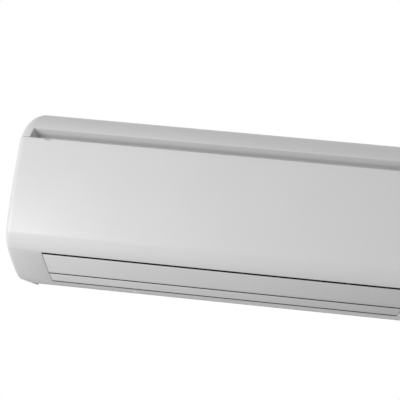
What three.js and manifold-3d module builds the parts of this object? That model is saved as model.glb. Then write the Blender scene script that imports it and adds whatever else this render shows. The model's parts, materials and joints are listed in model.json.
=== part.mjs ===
// Indoor unit of a split air conditioner, hung on a wall by a steel plate.
// Millimetres, +Z up, the wall is the plane Y = 0 and the unit faces -Y. The origin is on the wall,
// at the middle of the mounting plate's back face.
//
// The unit is drawn in its side view: a point (d, z) is d in front of the wall and z above the
// unit's lowest edge, and most pieces are that section run along X.
import * as THREE from "three";
import { mergeVertices } from "three/addons/utils/BufferGeometryUtils.js";
import Module from "manifold-3d";

const wasm = await Module();
wasm.setup();

// ---------------------------------------------------------------- driving dimensions
const GAP = 0.3; // seat clearance between pieces that touch

// Outer form of the casing, in the side view
const WIDTH = 800;
const HEIGHT = 295;
const DEPTH = 215;
const END_ROUND = 9; // rounding of the front and lower edges into the two ends
const TOP_ROUND = 28; // rounding of the top edge into the two ends
const END_ROUND_STEPS = 3; // of the outer form
const INNER_ROUND_STEPS = 1; // of the inner side of its walls
const LIP = [DEPTH - 109.5, 12]; // where the flat underside starts to turn up to the outlet
const LIP_BULGE = 0.2;
const OUTLET_LOW = [DEPTH - 100.5, 14.5]; // lower edge of the air outlet
const OUTLET_HIGH = [DEPTH - 19.5, 62]; // upper edge of the air outlet, where the front panel ends
const OUTLET_BULGE = 2.5;
const CREASE = [DEPTH - 0.4, 92]; // where the flat of the panel starts to curl in
const CURL_BULGE = 3.3;
const PANEL_TOP = [DEPTH - 22.5, HEIGHT - 49];
const PANEL_BULGE = 5;
const NOSE_LOW = [DEPTH - 23.6, HEIGHT - 46.8]; // the rounded nose above the panel
const NOSE_HIGH = [DEPTH - 97, HEIGHT];
const NOSE_BULGE = 12.7;
const BEHIND = -12; // the outline runs on behind the wall, and is cut off there

// Casing
const CASING_WALL = 2.5;
const PANEL_WALL = 2.8;
const PANEL_POCKET = 7; // depth of the pocket that holds the panel
const PANEL_GAP = 0.8; // gap round the panel
const PANEL_CAP = 12; // length of the caps at the panel's two ends
const RECESS_HALF = WIDTH / 2 - 17; // half length of the finger recess above the panel
const RECESS_TAPER = 8; // how much shorter it is at its back than at its mouth
const RECESS_TOP = HEIGHT - 29.4;
const RECESS_BACK = DEPTH - 49;
const RECESS_CEILING = HEIGHT - 41.5; // its ceiling slopes down to here at the back
const RECESS_HEEL = 3; // slope between its back and its floor
const RECESS_FLOOR = HEIGHT - 57;
const OUTLET_LEFT = 58 - WIDTH / 2;
const OUTLET_RIGHT = WIDTH / 2 - 152;
const OUTLET_TAPER = 4.8; // how far each end leans in from its top to its bottom
const WINDOW_LEFT = OUTLET_LEFT - 24; // opening behind the panel that the filters slide into
const WINDOW_RIGHT = OUTLET_RIGHT + 24;
const WINDOW_LOW = 119;
const WINDOW_HIGH = RECESS_FLOOR - 2;
const MULLION = 10; // bar between the two filters
const INTAKE_HALF = WIDTH / 2 - 34; // half length of the opening in the top
const INTAKE_BACK = 24;
const INTAKE_FRONT = NOSE_HIGH[0] - 4;
const LEDGE = 3; // ledge that carries the intake grille

// Intake grille
const INTAKE_THICK = 3;
const INTAKE_COLUMNS = 8;
const INTAKE_ROWS = 4;
const INTAKE_RIB = 3;
const INTAKE_BORDER = 5;

// Panel hinge
const BEAD_RADIUS = 3; // round bead along the panel's top edge, which turns in two cradles
const CRADLE_WALL = 2;
const CRADLE_WIDTH = 9;
const CRADLE_X = WIDTH / 2 - 48;
const CRADLE_FROM = 75; // degrees, the bead's top side
const CRADLE_TO = 262; // degrees, the bead's under side

// Fan
const FAN_D = DEPTH - 120;
const FAN_Z = 128;
const FAN_RADIUS = 46;
const FAN_BLADES = 16;
const FAN_SECTIONS = 3;
const FAN_DISC = 2;
const BLADE_DEPTH = 11;
const BLADE_WALL = 1.6;
const BLADE_LEAN = 24; // degrees that a blade's inner edge trails its outer edge
const FAN_END_GAP = 4; // gap between the fan and the end walls
const HUB_RADIUS = 11;
const HUB_LENGTH = 16;
const SHAFT_RADIUS = 4;
const BEARING_RADIUS = 12;
const BEARING_WIDTH = 8;
const BEARING_OUTER = 7.5;
const BUSH_FLANGE = BEARING_RADIUS + 2.5;

// Chassis and duct
const CHASSIS_WALL = 3;
const END_WALL_GAP = 1.5; // from the outlet's edge to the duct's end wall
const SCROLL_FROM = 135; // degrees round the fan, from the front and over the top
const SCROLL_TO = 255;
const SCROLL_GAP_FROM = 6;
const SCROLL_GAP_TO = 20;
const PIPE_RECESS_DEPTH = 42; // channel for the pipes along the lower back
const PIPE_RECESS_TOP = 66;
const PIPE_NOTCH = [OUTLET_RIGHT + 12, OUTLET_RIGHT + 48]; // where the pipes come down into the channel
const TONGUE = [FAN_D + 50.5, FAN_Z - 16]; // the edge of the duct that is nearest the fan
const DUCT_END = [OUTLET_HIGH[0] - 11.5, OUTLET_HIGH[1] + 8];
const FLOW_ANGLE = 50; // degrees that the air leaves below the horizontal

// Drain pan
const PAN_FRONT = DEPTH - 22;
const PAN_TOP = TONGUE[1] + 5.5;
const PAN_FLOOR = PAN_TOP - 18.5;
const PAN_WALL = 3;

// Heat exchanger
const SLAB = 22; // thickness through two rows of tubes
const SLAB_LEFT = OUTLET_LEFT + 4;
const SLAB_RIGHT = OUTLET_RIGHT - 4;
const TUBE_RADIUS = 3.5;
const TUBE_ROW = 11;
const BEND_CLEAR = 5; // from the fins to the start of a return bend
const SHEET = 1.5; // the end plates that hold the tubes
const TUBES_ALONG = 3; // in each row of a slab
const STUB = 14; // from the fins to the ends of the tubes that the pipes join
const FIN_GROOVES = 12; // wide grooves that stand for the fins
const GROOVE = 2;
const GROOVE_DEPTH = 1.6;

// Filters
const FILTER_D = FAN_D - 8.5; // centre of the arc that the filters follow
const FILTER_Z = 158;
const FILTER_RADIUS = 112;
const FILTER_FRAME = 2.4;
const FILTER_NET = 0.8;
const FILTER_FROM = -18; // degrees above the horizontal, lower edge
const FILTER_TO = 92;
const FILTER_STEPS = 11;
const FILTER_PLAY = 0.7; // clearance of the filters in their grooves
const FILTER_SLOT = [-29, 114]; // the grooves run on past both edges
const FILTER_COLUMNS = 5;
const FILTER_ROWS = 4;
const FILTER_BORDER = 7;
const FILTER_RIB = 2.4;
const FILTER_SIDE_GAP = 2;
const GUIDE_WALL = 2; // the ribs with the filters' grooves
const GUIDE_LIP = 1.8;
const GUIDE_LOW = PAN_TOP + 1;

// Flaps
const FLAP_WALL = 3.4;
const FLAP_TOP_GAP = 4.8; // dark gap above the upper flap
const FLAP_MIDDLE = 0.337; // share of the outlet's arc, from below, where the two flaps meet
const FLAP_MIDDLE_GAP = 3.9;
const FLAP_LOW_GAP = 2.2;
const FLAP_END_GAP = 1;
const FLAP_PIN = 2.5;
const FLAP_LUG = 3;
const UPPER_PIVOT = [DEPTH - 54.6, 50.1];
const LOWER_PIVOT = [DEPTH - 93.4, 25.2];
const CRANK_LENGTH = 12;
const CRANK_ANGLE = 163; // degrees, from the front and over the top
const CRANK_WALL = 3;
const CRANK_RADIUS = 3.4;
const LINK_PIN = 1.8;

// Vanes
const VANES = 5; // in each of the two groups, placed from the outlet's lower edge
const VANE_WALL = 1.6;
const VANE_BACK = -49.5; // along the air's way
const VANE_PIVOT = -43.5;
const VANE_LINK = -31.5;
const VANE_FRONT = -25.5;
const VANE_LOW = 7; // across the air's way
const VANE_HIGH = 79;
const VANE_PIN = 2;
const ROD_PIN = 1.4;
const ROD_HALF = 3.6; // half width of a vane rod
const ROD_PLACE = [VANE_HIGH + 2, VANE_HIGH + 4.4]; // its two faces, across the air's way

// Mounting plate
const PLATE_HALF = WIDTH / 2 - 70;
const PLATE_LOW = 74;
const PLATE_HIGH = 266;
const PLATE_WALL = 1.2;
const PLATE_MIDDLE = (PLATE_LOW + PLATE_HIGH) / 2;
const BACK_WALL = 6.5; // from the wall to the chassis's back, which the plate stands clear of
const HOOK_X = 210;
const HOOK_WIDTH = 40;
const HOOK_Z = 246;
const HOOK_HEIGHT = 12;
const LIFT = 14; // how far the unit is lifted to hang it on the hooks
const SCREW_SLOT = 3; // half width of the slots for the wall's screws
const SLOT_PITCH = 96;

// Refrigerant pipes and drain
const GAS_RADIUS = 4.76;
const LIQUID_RADIUS = 3.18;
const GAS_RUN = [31, 50]; // where the pipes run along the channel
const LIQUID_RUN = [17, 31];
const GAS_END = OUTLET_RIGHT - 318;
const LIQUID_END = GAS_END + 60;
const CLIP_WIDTH = 4; // ribs of the chassis that hold the pipes
const CLIP_X = [LIQUID_END + 30, LIQUID_END + 200];
const NUT_LENGTH = 17;
const NUT_SIDES = 6;
const SPIGOT_RADIUS = 9;
const SPIGOT_BORE = 7;
const SPIGOT_LENGTH = 28;
const DRAIN_X = OUTLET_LEFT + 8;
const DRAIN = [22, 40];

// Motors, electrics and controls
const MOTOR_RADIUS = 40;
const MOTOR_LENGTH = 46;
const MOTOR_GAP = 7; // from the duct's end wall to the motor
const BOX_LEFT = WIDTH / 2 - 84;
const BOX_RIGHT = WIDTH / 2 - 12;
const BOX_BACK = 44;
const BOX_FRONT = DEPTH - 59;
const BOX_LOW = 92;
const BOX_HIGH = 240;
const BOX_WALL = 2;
const BOARD_D = BOX_BACK + 26;
const BOARD_WALL = 1.6;
const BUTTON_X = WIDTH / 2 - 94;
const BUTTON_Z = 98;
const BUTTON_RADIUS = 5;
const BUTTON_TRAVEL = 1.5;
const BUTTON_FLANGE = 1.4;
const BUTTON_SEAT = 1; // from the pocket's inner side to the flange, past the pocket's curve
const RECEIVER_LEFT = OUTLET_RIGHT + 22;
const RECEIVER_RIGHT = WIDTH / 2 - 66;
const STEPPER_RADIUS = 13;
const STEPPER_LENGTH = 18;
const STEPPER_OFFSET = 8;
const MOTOR_SOCKET = 6; // how deep the upper flap's pin sits in its motor
const SCREW_RADIUS = 2;
const SCREW_HEAD = 4.2;
const SCREW_D = FAN_D - 21;
const SCREW_X = [OUTLET_LEFT + 142, OUTLET_RIGHT - 142];
const SCREW_SINK = 3; // how deep the seats of the screws lie in the underside

// ---------------------------------------------------------------- solids
const rad = THREE.MathUtils.degToRad;
const at = (x, d, z) => new THREE.Vector3(x, -d, z);

function toSolid(geometry) {
  const bare = new THREE.BufferGeometry();
  bare.setAttribute("position", geometry.getAttribute("position"));
  if (geometry.index) bare.setIndex(geometry.index);
  const merged = mergeVertices(bare, 1e-4);
  const triVerts = new Uint32Array(merged.index.array);
  const vertProperties = merged.attributes.position.array;
  return new wasm.Manifold(new wasm.Mesh({ numProp: 3, vertProperties, triVerts }));
}

function toGeometry(solid) {
  const mesh = solid.getMesh();
  const geometry = new THREE.BufferGeometry();
  geometry.setAttribute("position", new THREE.BufferAttribute(mesh.vertProperties, 3));
  geometry.setIndex(new THREE.BufferAttribute(mesh.triVerts, 1));
  return geometry;
}

const join = (...solids) => solids.reduce((sum, next) => sum.add(next));
const cut = (solid, ...tools) => tools.reduce((rest, tool) => rest.subtract(tool), solid);

// The solid without the specks that cuts through nearly flush faces leave.
function withoutCrumbs(solid) {
  const speck = 1;
  return wasm.Manifold.union(solid.decompose().filter((body) => body.volume() > speck));
}

const move = (solid, x, d, z) => solid.translate([x, -d, z]);

// A side-view outline run along X from x0 to x1. The shape is drawn with d to the right and z up.
function prism(outline, x0, x1, holes = []) {
  const shape = new THREE.Shape(outline.map(([d, z]) => new THREE.Vector2(d, z)));
  shape.holes = holes.map((hole) => new THREE.Path(hole.map(([d, z]) => new THREE.Vector2(d, z))));
  const geometry = new THREE.ExtrudeGeometry(shape, { depth: x1 - x0, bevelEnabled: false });
  const sideView = new THREE.Matrix4().set(0, 0, -1, x1, -1, 0, 0, 0, 0, 1, 0, 0, 0, 0, 0, 1);
  return toSolid(geometry.applyMatrix4(sideView));
}

function block(x0, x1, d0, d1, z0, z1) {
  const box = new THREE.BoxGeometry(x1 - x0, d1 - d0, z1 - z0);
  box.translate((x0 + x1) / 2, -(d0 + d1) / 2, (z0 + z1) / 2);
  return toSolid(box);
}

// A round bar between two points.
function bar(from, to, radius, sides = 10) {
  const along = to.clone().sub(from);
  const geometry = new THREE.CylinderGeometry(radius, radius, along.length(), sides);
  geometry.applyQuaternion(
    new THREE.Quaternion().setFromUnitVectors(new THREE.Vector3(0, 1, 0), along.clone().normalize()),
  );
  const middle = from.clone().add(to).multiplyScalar(0.5);
  geometry.translate(middle.x, middle.y, middle.z);
  return toSolid(geometry);
}

const barX = (x0, x1, [d, z], radius, sides) => bar(at(x0, d, z), at(x1, d, z), radius, sides);

// A closed body through rings of equally many points, with flat or folded ends.
function loft(rings) {
  const count = rings[0].length;
  const positions = rings.flat().flatMap((p) => [p.x, p.y, p.z]);
  const faces = [];
  for (let r = 0; r + 1 < rings.length; r++)
    for (let i = 0; i < count; i++) {
      const a = r * count + i;
      const b = r * count + ((i + 1) % count);
      faces.push(a, a + count, b + count, a, b + count, b);
    }
  const sideView = (ring) => ring.map((p) => new THREE.Vector2(-p.y, p.z));
  const last = (rings.length - 1) * count;
  for (const [a, b, c] of THREE.ShapeUtils.triangulateShape(sideView(rings[0]), [])) faces.push(a, b, c);
  for (const [a, b, c] of THREE.ShapeUtils.triangulateShape(sideView(rings.at(-1)), []))
    faces.push(last + a, last + c, last + b);
  const geometry = new THREE.BufferGeometry();
  geometry.setAttribute("position", new THREE.Float32BufferAttribute(positions, 3));
  geometry.setIndex(faces);
  return toSolid(geometry);
}

// ---------------------------------------------------------------- outlines in the side view
// Points on the arc from a to b that stands `bulge` proud of the straight line, to its right.
// `from` and `to` are shares of it, where only a part is wanted.
function arc([d0, z0], [d1, z1], bulge, steps, from = 0, to = 1) {
  const chord = Math.hypot(d1 - d0, z1 - z0);
  const radius = (chord * chord) / (8 * bulge) + bulge / 2;
  const half = Math.asin(chord / 2 / radius);
  const [ud, uz] = [(d1 - d0) / chord, (z1 - z0) / chord];
  return Array.from({ length: steps + 1 }, (_, i) => {
    const angle = half * (2 * (from + ((to - from) * i) / steps) - 1);
    const along = chord / 2 + radius * Math.sin(angle);
    const out = radius * (Math.cos(angle) - Math.cos(half));
    return [d0 + ud * along + uz * out, z0 + uz * along - ud * out];
  });
}

// Points on a circle, in degrees from the front and over the top.
function round([d, z], radius, from, to, steps) {
  return Array.from({ length: steps + 1 }, (_, i) => {
    const angle = rad(from + ((to - from) * i) / steps);
    return [d + radius * Math.cos(angle), z + radius * Math.sin(angle)];
  });
}

// The line moved to its right by `out`, which is outwards on the casing's outline.
function offset(line, out) {
  return line.map(([d, z], i) => {
    const [d0, z0] = line[Math.max(i - 1, 0)];
    const [d1, z1] = line[Math.min(i + 1, line.length - 1)];
    const first = unit(d - d0, z - z0);
    const second = unit(d1 - d, z1 - z);
    const [ud, uz] = unit(first[0] + second[0], first[1] + second[1]);
    return [d + uz * out, z - ud * out];
  });
}

function unit(d, z) {
  const length = Math.hypot(d, z) || 1;
  return [d / length, z / length];
}

// The line with both ends run on by `extra`.
function extended(line, extra) {
  const [first, second] = line;
  const [beforeLast, last] = line.slice(-2);
  const [ad, az] = unit(first[0] - second[0], first[1] - second[1]);
  const [bd, bz] = unit(last[0] - beforeLast[0], last[1] - beforeLast[1]);
  return [
    [first[0] + ad * extra, first[1] + az * extra],
    ...line.slice(1, -1),
    [last[0] + bd * extra, last[1] + bz * extra],
  ];
}

// A wall of even thickness along a line, on its right side if the thickness is positive.
const strip = (line, thickness) => [...line, ...offset(line, thickness).reverse()];
const band = (line, inner, outer) => [...offset(line, outer), ...offset(line, inner).reverse()];

const spot = ([d, z], [dd, dz]) => [d + dd, z + dz];
const polar = (radius, angle) => [radius * Math.cos(rad(angle)), radius * Math.sin(rad(angle))];

// The casing's own outline, from the underside at the wall to the top at the wall.
const outletLine = arc(OUTLET_LOW, OUTLET_HIGH, OUTLET_BULGE, 4);
const panelLine = [
  ...arc(OUTLET_HIGH, CREASE, CURL_BULGE, 4),
  ...arc(CREASE, PANEL_TOP, PANEL_BULGE, 5).slice(1),
];
const noseLine = arc(NOSE_LOW, NOSE_HIGH, NOSE_BULGE, 6);
const underside = LIP[1] / LIP[0];
const casingLine = [
  [BEHIND, BEHIND * underside],
  ...arc(LIP, OUTLET_LOW, LIP_BULGE, 2).slice(0, -1),
  ...outletLine.slice(0, -1),
  ...panelLine,
  ...noseLine,
  [BEHIND, HEIGHT],
];

// The casing's full form, drawn in by `inset` all round, with its edges rounded into the ends.
function casingForm(inset) {
  const rings = [];
  const steps = inset ? INNER_ROUND_STEPS : END_ROUND_STEPS;
  for (const side of [-1, 1])
    for (let step = 0; step <= steps; step++) {
      const turn = ((side < 0 ? step : steps - step) / steps) * (Math.PI / 2);
      rings.push(
        casingLine.map((_, i) => {
          const up = Math.max(0, -outward(casingLine, i)[0]);
          const edge = END_ROUND + (TOP_ROUND - END_ROUND) * up * up - inset;
          const [d, z] = offset(casingLine, -inset - edge * (1 - Math.sin(turn)))[i];
          return at(side * (WIDTH / 2 - inset - edge * (1 - Math.cos(turn))), d, z);
        }),
      );
    }
  return loft(rings);
}

// Direction along the line at point i.
function outward(line, i) {
  const [d0, z0] = line[Math.max(i - 1, 0)];
  const [d1, z1] = line[Math.min(i + 1, line.length - 1)];
  return unit(d1 - d0, z1 - z0);
}

// The point s along the air's way out and n across it, from the outlet's lower edge.
const flow = (s, n) => {
  const angle = rad(FLOW_ANGLE);
  return [
    OUTLET_LOW[0] + s * Math.cos(angle) + n * Math.sin(angle),
    OUTLET_LOW[1] + n * Math.cos(angle) - s * Math.sin(angle),
  ];
};

const mesh = (name, solid, colour, roughness, metalness = 0) => {
  const geometry = toGeometry(solid);
  const material = new THREE.MeshStandardMaterial({ color: colour, roughness, metalness });
  const piece = new THREE.Mesh(geometry, material);
  piece.name = name;
  return piece;
};

const WHITE = 0xe8e8e6;
const INNER_WHITE = 0xdcdcd8;
const DARK = 0x2c2d30;
const STEEL = 0xb4b8bc;
const COPPER = 0xb87348;
const BRASS = 0xc0a050;
const ALUMINIUM = 0xc8ccd0;
const RUBBER = 0x26272a;
const GREEN = 0x2f6a45;

// ---------------------------------------------------------------- shared places
const BACK_GAP = PLATE_WALL + GAP;
const INSIDE = WIDTH / 2 - CASING_WALL - GAP;
const fanCentre = [FAN_D, FAN_Z];
const filterCentre = [FILTER_D, FILTER_Z];
const leftWall = [OUTLET_LEFT - END_WALL_GAP - CHASSIS_WALL, OUTLET_LEFT - END_WALL_GAP];
const rightWall = [OUTLET_RIGHT + END_WALL_GAP, OUTLET_RIGHT + END_WALL_GAP + CHASSIS_WALL];
const panelEnd = outward(panelLine, panelLine.length - 1);
const hinge = [
  PANEL_TOP[0] - BEAD_RADIUS * (panelEnd[0] + panelEnd[1]),
  PANEL_TOP[1] - BEAD_RADIUS * (panelEnd[1] - panelEnd[0]),
];
const panelCorner = BEAD_RADIUS * Math.SQRT2; // from the hinge to the corner of the panel's top edge
const screwSeat = underside * SCREW_D + SCREW_SINK;
const sideInside = WIDTH / 2 - END_ROUND - CASING_WALL; // flat part of the underside
const pocketFace = DEPTH - PANEL_POCKET;
const cuttersFront = 40; // how far a cutting band stands out of the casing
const frameTop = RECESS_FLOOR - CASING_WALL - GAP; // where the frame below the recess ends
const channelTop = PIPE_RECESS_TOP + CHASSIS_WALL + GAP; // where the chassis stands on the pipe channel
const crankEnd = polar(CRANK_LENGTH, CRANK_ANGLE);

// A body of revolution. The profile is a closed loop of [along, radius] points, which starts at the
// inner radius and goes out, along and back in. Its axis runs out of the wall.
function lathe(profile, sides) {
  const points = [...profile, profile[0]].map(([along, radius]) => new THREE.Vector2(radius, -along));
  return new THREE.LatheGeometry(points.reverse(), sides);
}

const turnedAcross = (profile, x, [d, z], sides = 16) => move(toSolid(lathe(profile, sides)), x, d, z);

// The same with its axis along X.
const turned = (profile, x, [d, z], sides = 16) =>
  move(toSolid(lathe(profile, sides).rotateZ(Math.PI / 2)), x, d, z);

// ---------------------------------------------------------------- casing
const pocketBand = (deeper) =>
  band(extended(panelLine, PANEL_GAP + deeper), -PANEL_POCKET - deeper, cuttersFront);

const recessSlope = RECESS_TAPER / (PANEL_TOP[0] - RECESS_BACK);
const recessHalf = (d) => RECESS_HALF - recessSlope * (PANEL_TOP[0] - d);

// The finger recess and a wall round it, `longer` at both ends.
function fingerRecess(wall, longer = 0) {
  const front = DEPTH + cuttersFront;
  const outline = offset([
    [front, RECESS_TOP], [PANEL_TOP[0] - PANEL_POCKET, RECESS_TOP], [RECESS_BACK, RECESS_CEILING],
    [RECESS_BACK, RECESS_FLOOR + RECESS_HEEL], [RECESS_BACK + RECESS_HEEL, RECESS_FLOOR], [front, RECESS_FLOOR],
  ], wall);
  return loft([-1, 1].map((side) =>
    outline.map(([d, z]) => at(side * (recessHalf(d) + wall + longer), d, z))));
}

// All that lies between the two ends of the recess, `longer` at both.
function recessSpan(longer, low, high) {
  const [back, front] = [RECESS_BACK - 4 * CASING_WALL, DEPTH];
  const outline = [[back, low], [front, low], [front, high], [back, high]];
  return loft([-1, 1].map((side) => outline.map(([d, z]) => at(side * (recessHalf(d) + longer), d, z))));
}

// A side-view outline run across the outlet, `short` of its leaning ends.
function outletPrism(outline, short) {
  const lean = (z) => (OUTLET_TAPER * (OUTLET_HIGH[1] - z)) / (OUTLET_HIGH[1] - OUTLET_LOW[1]);
  return loft([
    outline.map(([d, z]) => at(OUTLET_LEFT + short + lean(z), d, z)),
    outline.map(([d, z]) => at(OUTLET_RIGHT - short - lean(z), d, z)),
  ]);
}

function filterWindow(x0, x1) {
  return block(x0, x1, RECESS_BACK, DEPTH, WINDOW_LOW, WINDOW_HIGH);
}

const filterPlaces = () => {
  const middle = (WINDOW_LEFT + WINDOW_RIGHT) / 2;
  return [
    [WINDOW_LEFT, middle - MULLION / 2],
    [middle + MULLION / 2, WINDOW_RIGHT],
  ];
};

// An upright rib inside the casing that carries the edges of the filters in grooves.
function filterGuide(x0, x1) {
  const rim = FILTER_RADIUS - FILTER_FRAME - FILTER_PLAY - GUIDE_LIP;
  const rib = casingForm(CASING_WALL / 2).intersect(
    block(x0, x1, FILTER_D - 8, DEPTH, GUIDE_LOW, HEIGHT - INTAKE_THICK - GAP),
  );
  return cut(
    rib, prism(pocketBand(CASING_WALL / 2), x0 - 1, x1 + 1),
    barX(x0 - 1, x1 + 1, filterCentre, rim, 32), fingerRecess(CASING_WALL / 2),
    block(x0 - 1, x1 + 1, 0, DEPTH, frameTop, RECESS_CEILING + CASING_WALL),
  );
}

function filterSlot([x0, x1]) {
  const steps = Math.round(FILTER_STEPS * 1.5);
  const ring = round(filterCentre, FILTER_RADIUS + FILTER_PLAY, ...FILTER_SLOT, steps);
  const inner = round(filterCentre, FILTER_RADIUS - FILTER_FRAME - FILTER_PLAY, ...FILTER_SLOT, steps);
  return prism([...ring, ...inner.reverse()], x0 - FILTER_SIDE_GAP, x1 + FILTER_SIDE_GAP);
}

function cradle(x) {
  const outer = BEAD_RADIUS + GAP + CRADLE_WALL;
  const ring = round(hinge, outer, CRADLE_FROM, CRADLE_TO, 10);
  const inner = round(hinge, BEAD_RADIUS + GAP, CRADLE_FROM, CRADLE_TO, 10);
  const root = block(
    x - CRADLE_WIDTH / 2, x + CRADLE_WIDTH / 2,
    hinge[0] - outer - 4, hinge[0] - outer + 1, RECESS_FLOOR, hinge[1],
  );
  return cut(
    join(prism([...ring, ...inner.reverse()], x - CRADLE_WIDTH / 2, x + CRADLE_WIDTH / 2), root),
    block(-WIDTH, WIDTH, 0, DEPTH, 0, RECESS_FLOOR + GAP),
  );
}

// The casing as one shell. Its pieces are parted from it below.
function casingBody() {
  const wallSide = block(-WIDTH, WIDTH, 3 * BEHIND, BACK_GAP, BEHIND, HEIGHT + 1);
  const outer = cut(
    casingForm(0), prism(pocketBand(0), -WIDTH, WIDTH), fingerRecess(0), wallSide,
    barX(-WIDTH, WIDTH, hinge, panelCorner + PANEL_GAP, 24),
  );
  const inner = cut(
    casingForm(CASING_WALL), prism(pocketBand(CASING_WALL), -WIDTH, WIDTH), fingerRecess(CASING_WALL),
  );
  const [leftFilter, rightFilter] = filterPlaces();
  const edge = FILTER_SIDE_GAP;
  const shell = cut(
    cut(outer, inner),
    outletPrism(band(outletLine, -12, cuttersFront), 0),
    block(-sideInside, sideInside, 0, PIPE_RECESS_DEPTH + CHASSIS_WALL + GAP, BEHIND, PIPE_RECESS_TOP / 2),
    block(-INTAKE_HALF, INTAKE_HALF, INTAKE_BACK, INTAKE_FRONT, HEIGHT - 10, HEIGHT + 1),
  );
  const guides = join(
    filterGuide(leftFilter[0] - edge - GUIDE_WALL, leftFilter[0] + GUIDE_WALL),
    filterGuide(leftFilter[1] - GUIDE_WALL, rightFilter[0] + GUIDE_WALL),
    filterGuide(rightFilter[1] - GUIDE_WALL, rightFilter[1] + edge + GUIDE_WALL),
  );
  const receiver = prism(
    band(arc(OUTLET_LOW, OUTLET_HIGH, OUTLET_BULGE, 4, 0.55, 0.85), -CASING_WALL - 1, 10),
    RECEIVER_LEFT, RECEIVER_RIGHT,
  );
  const buttonHole = bar(
    at(BUTTON_X, DEPTH - 20, BUTTON_Z), at(BUTTON_X, DEPTH + 5, BUTTON_Z), BUTTON_RADIUS + GAP, 24,
  );
  const screwHoles = SCREW_X.map((x) => join(
    bar(at(x, SCREW_D, 0), at(x, SCREW_D, 20), SCREW_RADIUS + GAP),
    bar(at(x, SCREW_D, -2), at(x, SCREW_D, screwSeat), SCREW_HEAD + GAP, 20),
  ));
  const screwCups = SCREW_X.map((x) => bar(
    at(x, SCREW_D, screwSeat - 2), at(x, SCREW_D, screwSeat + CASING_WALL), SCREW_HEAD + GAP + 1.8, 20,
  ));
  return cut(
    join(shell, guides, ...screwCups, intakeLedge(), buttonSeat()),
    filterSlot(leftFilter), filterSlot(rightFilter),
    filterWindow(...leftFilter), filterWindow(...rightFilter), receiver, buttonHole, ...screwHoles,
  );
}

const coverFrom = RECESS_HALF + CASING_WALL; // the two ends are covers of their own
const betweenCovers = (low, high) => block(-coverFrom, coverFrom, 0, DEPTH, low, high);
const railTop = RECESS_FLOOR + RECESS_HEEL / 2;
const recessEnds = (gap) => cut(fingerRecess(CASING_WALL + gap, CASING_WALL), recessSpan(GAP / 2 - gap, 0, HEIGHT));

// The frame round the panel's pocket and the outlet, below the finger recess.
const frontGrille = (body) => withoutCrumbs(cut(
  body.intersect(betweenCovers(BEHIND, RECESS_CEILING)), fingerRecess(CASING_WALL + GAP, CASING_WALL),
));

// The rounded nose and the top, with the recess's ceiling.
const topCover = (body) => withoutCrumbs(cut(
  body.intersect(betweenCovers(RECESS_CEILING + GAP, HEIGHT + 1)), recessEnds(GAP),
));

const recessPlate = (body, low, high) =>
  withoutCrumbs(body.intersect(fingerRecess(CASING_WALL)).intersect(recessSpan(-GAP / 2, low, high)));

const sideCover = (body, side) => withoutCrumbs(body.intersect(join(
  block(-WIDTH, WIDTH, 0, DEPTH, BEHIND, HEIGHT + 1).subtract(betweenCovers(BEHIND, HEIGHT + 1)
    .add(block(-coverFrom - GAP, coverFrom + GAP, 0, DEPTH, BEHIND, HEIGHT + 1))),
  recessEnds(0),
)).intersect(move(block(-WIDTH, 0, 0, DEPTH, BEHIND, HEIGHT + 1), side < 0 ? 0 : WIDTH, 0, 0)));

function intakeLedge() {
  const top = HEIGHT - INTAKE_THICK - GAP;
  const frame = block(
    -INTAKE_HALF - 1, INTAKE_HALF + 1, INTAKE_BACK - 1, INTAKE_FRONT + 1, top - LEDGE, top,
  );
  return cut(frame, block(
    -INTAKE_HALF + LEDGE, INTAKE_HALF - LEDGE, INTAKE_BACK + LEDGE, INTAKE_FRONT - LEDGE, 0, HEIGHT,
  )).add(cut(
    block(-INTAKE_HALF - 1, INTAKE_HALF + 1, INTAKE_BACK - 1, INTAKE_FRONT + 1, top - LEDGE, HEIGHT - 1),
    block(-INTAKE_HALF, INTAKE_HALF, INTAKE_BACK, INTAKE_FRONT, 0, HEIGHT),
  ));
}

function intakeGrille() {
  const [x0, x1] = [-INTAKE_HALF + GAP, INTAKE_HALF - GAP];
  const [d0, d1] = [INTAKE_BACK + GAP, INTAKE_FRONT - GAP];
  const width = (x1 - x0 - 2 * INTAKE_BORDER + INTAKE_RIB) / INTAKE_COLUMNS;
  const depth = (d1 - d0 - 2 * INTAKE_BORDER + INTAKE_RIB) / INTAKE_ROWS;
  const holes = [];
  for (let column = 0; column < INTAKE_COLUMNS; column++)
    for (let row = 0; row < INTAKE_ROWS; row++) {
      const x = x0 + INTAKE_BORDER + column * width;
      const d = d0 + INTAKE_BORDER + row * depth;
      holes.push(block(x, x + width - INTAKE_RIB, d, d + depth - INTAKE_RIB, 0, HEIGHT + 1));
    }
  return cut(block(x0, x1, d0, d1, HEIGHT - INTAKE_THICK, HEIGHT), wasm.Manifold.union(holes));
}

// ---------------------------------------------------------------- front panel
// The whole face of the panel with its edges folded in. Its pieces are parted from it below.
function panelFace() {
  const tangent = [PANEL_TOP[0] - BEAD_RADIUS * panelEnd[0], PANEL_TOP[1] - BEAD_RADIUS * panelEnd[1]];
  const tray = prism(band(panelLine, PANEL_GAP - PANEL_POCKET, cuttersFront), -WIDTH, WIDTH);
  const reach = CRADLE_WIDTH / 2 + PANEL_GAP;
  const notches = [-CRADLE_X, CRADLE_X].map((x) =>
    prism(band([tangent, extended([tangent, PANEL_TOP], 1)[1]], -PANEL_POCKET, 1), x - reach, x + reach));
  return cut(casingForm(0).intersect(tray), casingForm(PANEL_WALL), ...notches);
}

const capFrom = WIDTH / 2 - PANEL_CAP;
const betweenCaps = (low, high) => block(GAP - capFrom, capFrom - GAP, 0, DEPTH, low, high);

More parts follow.
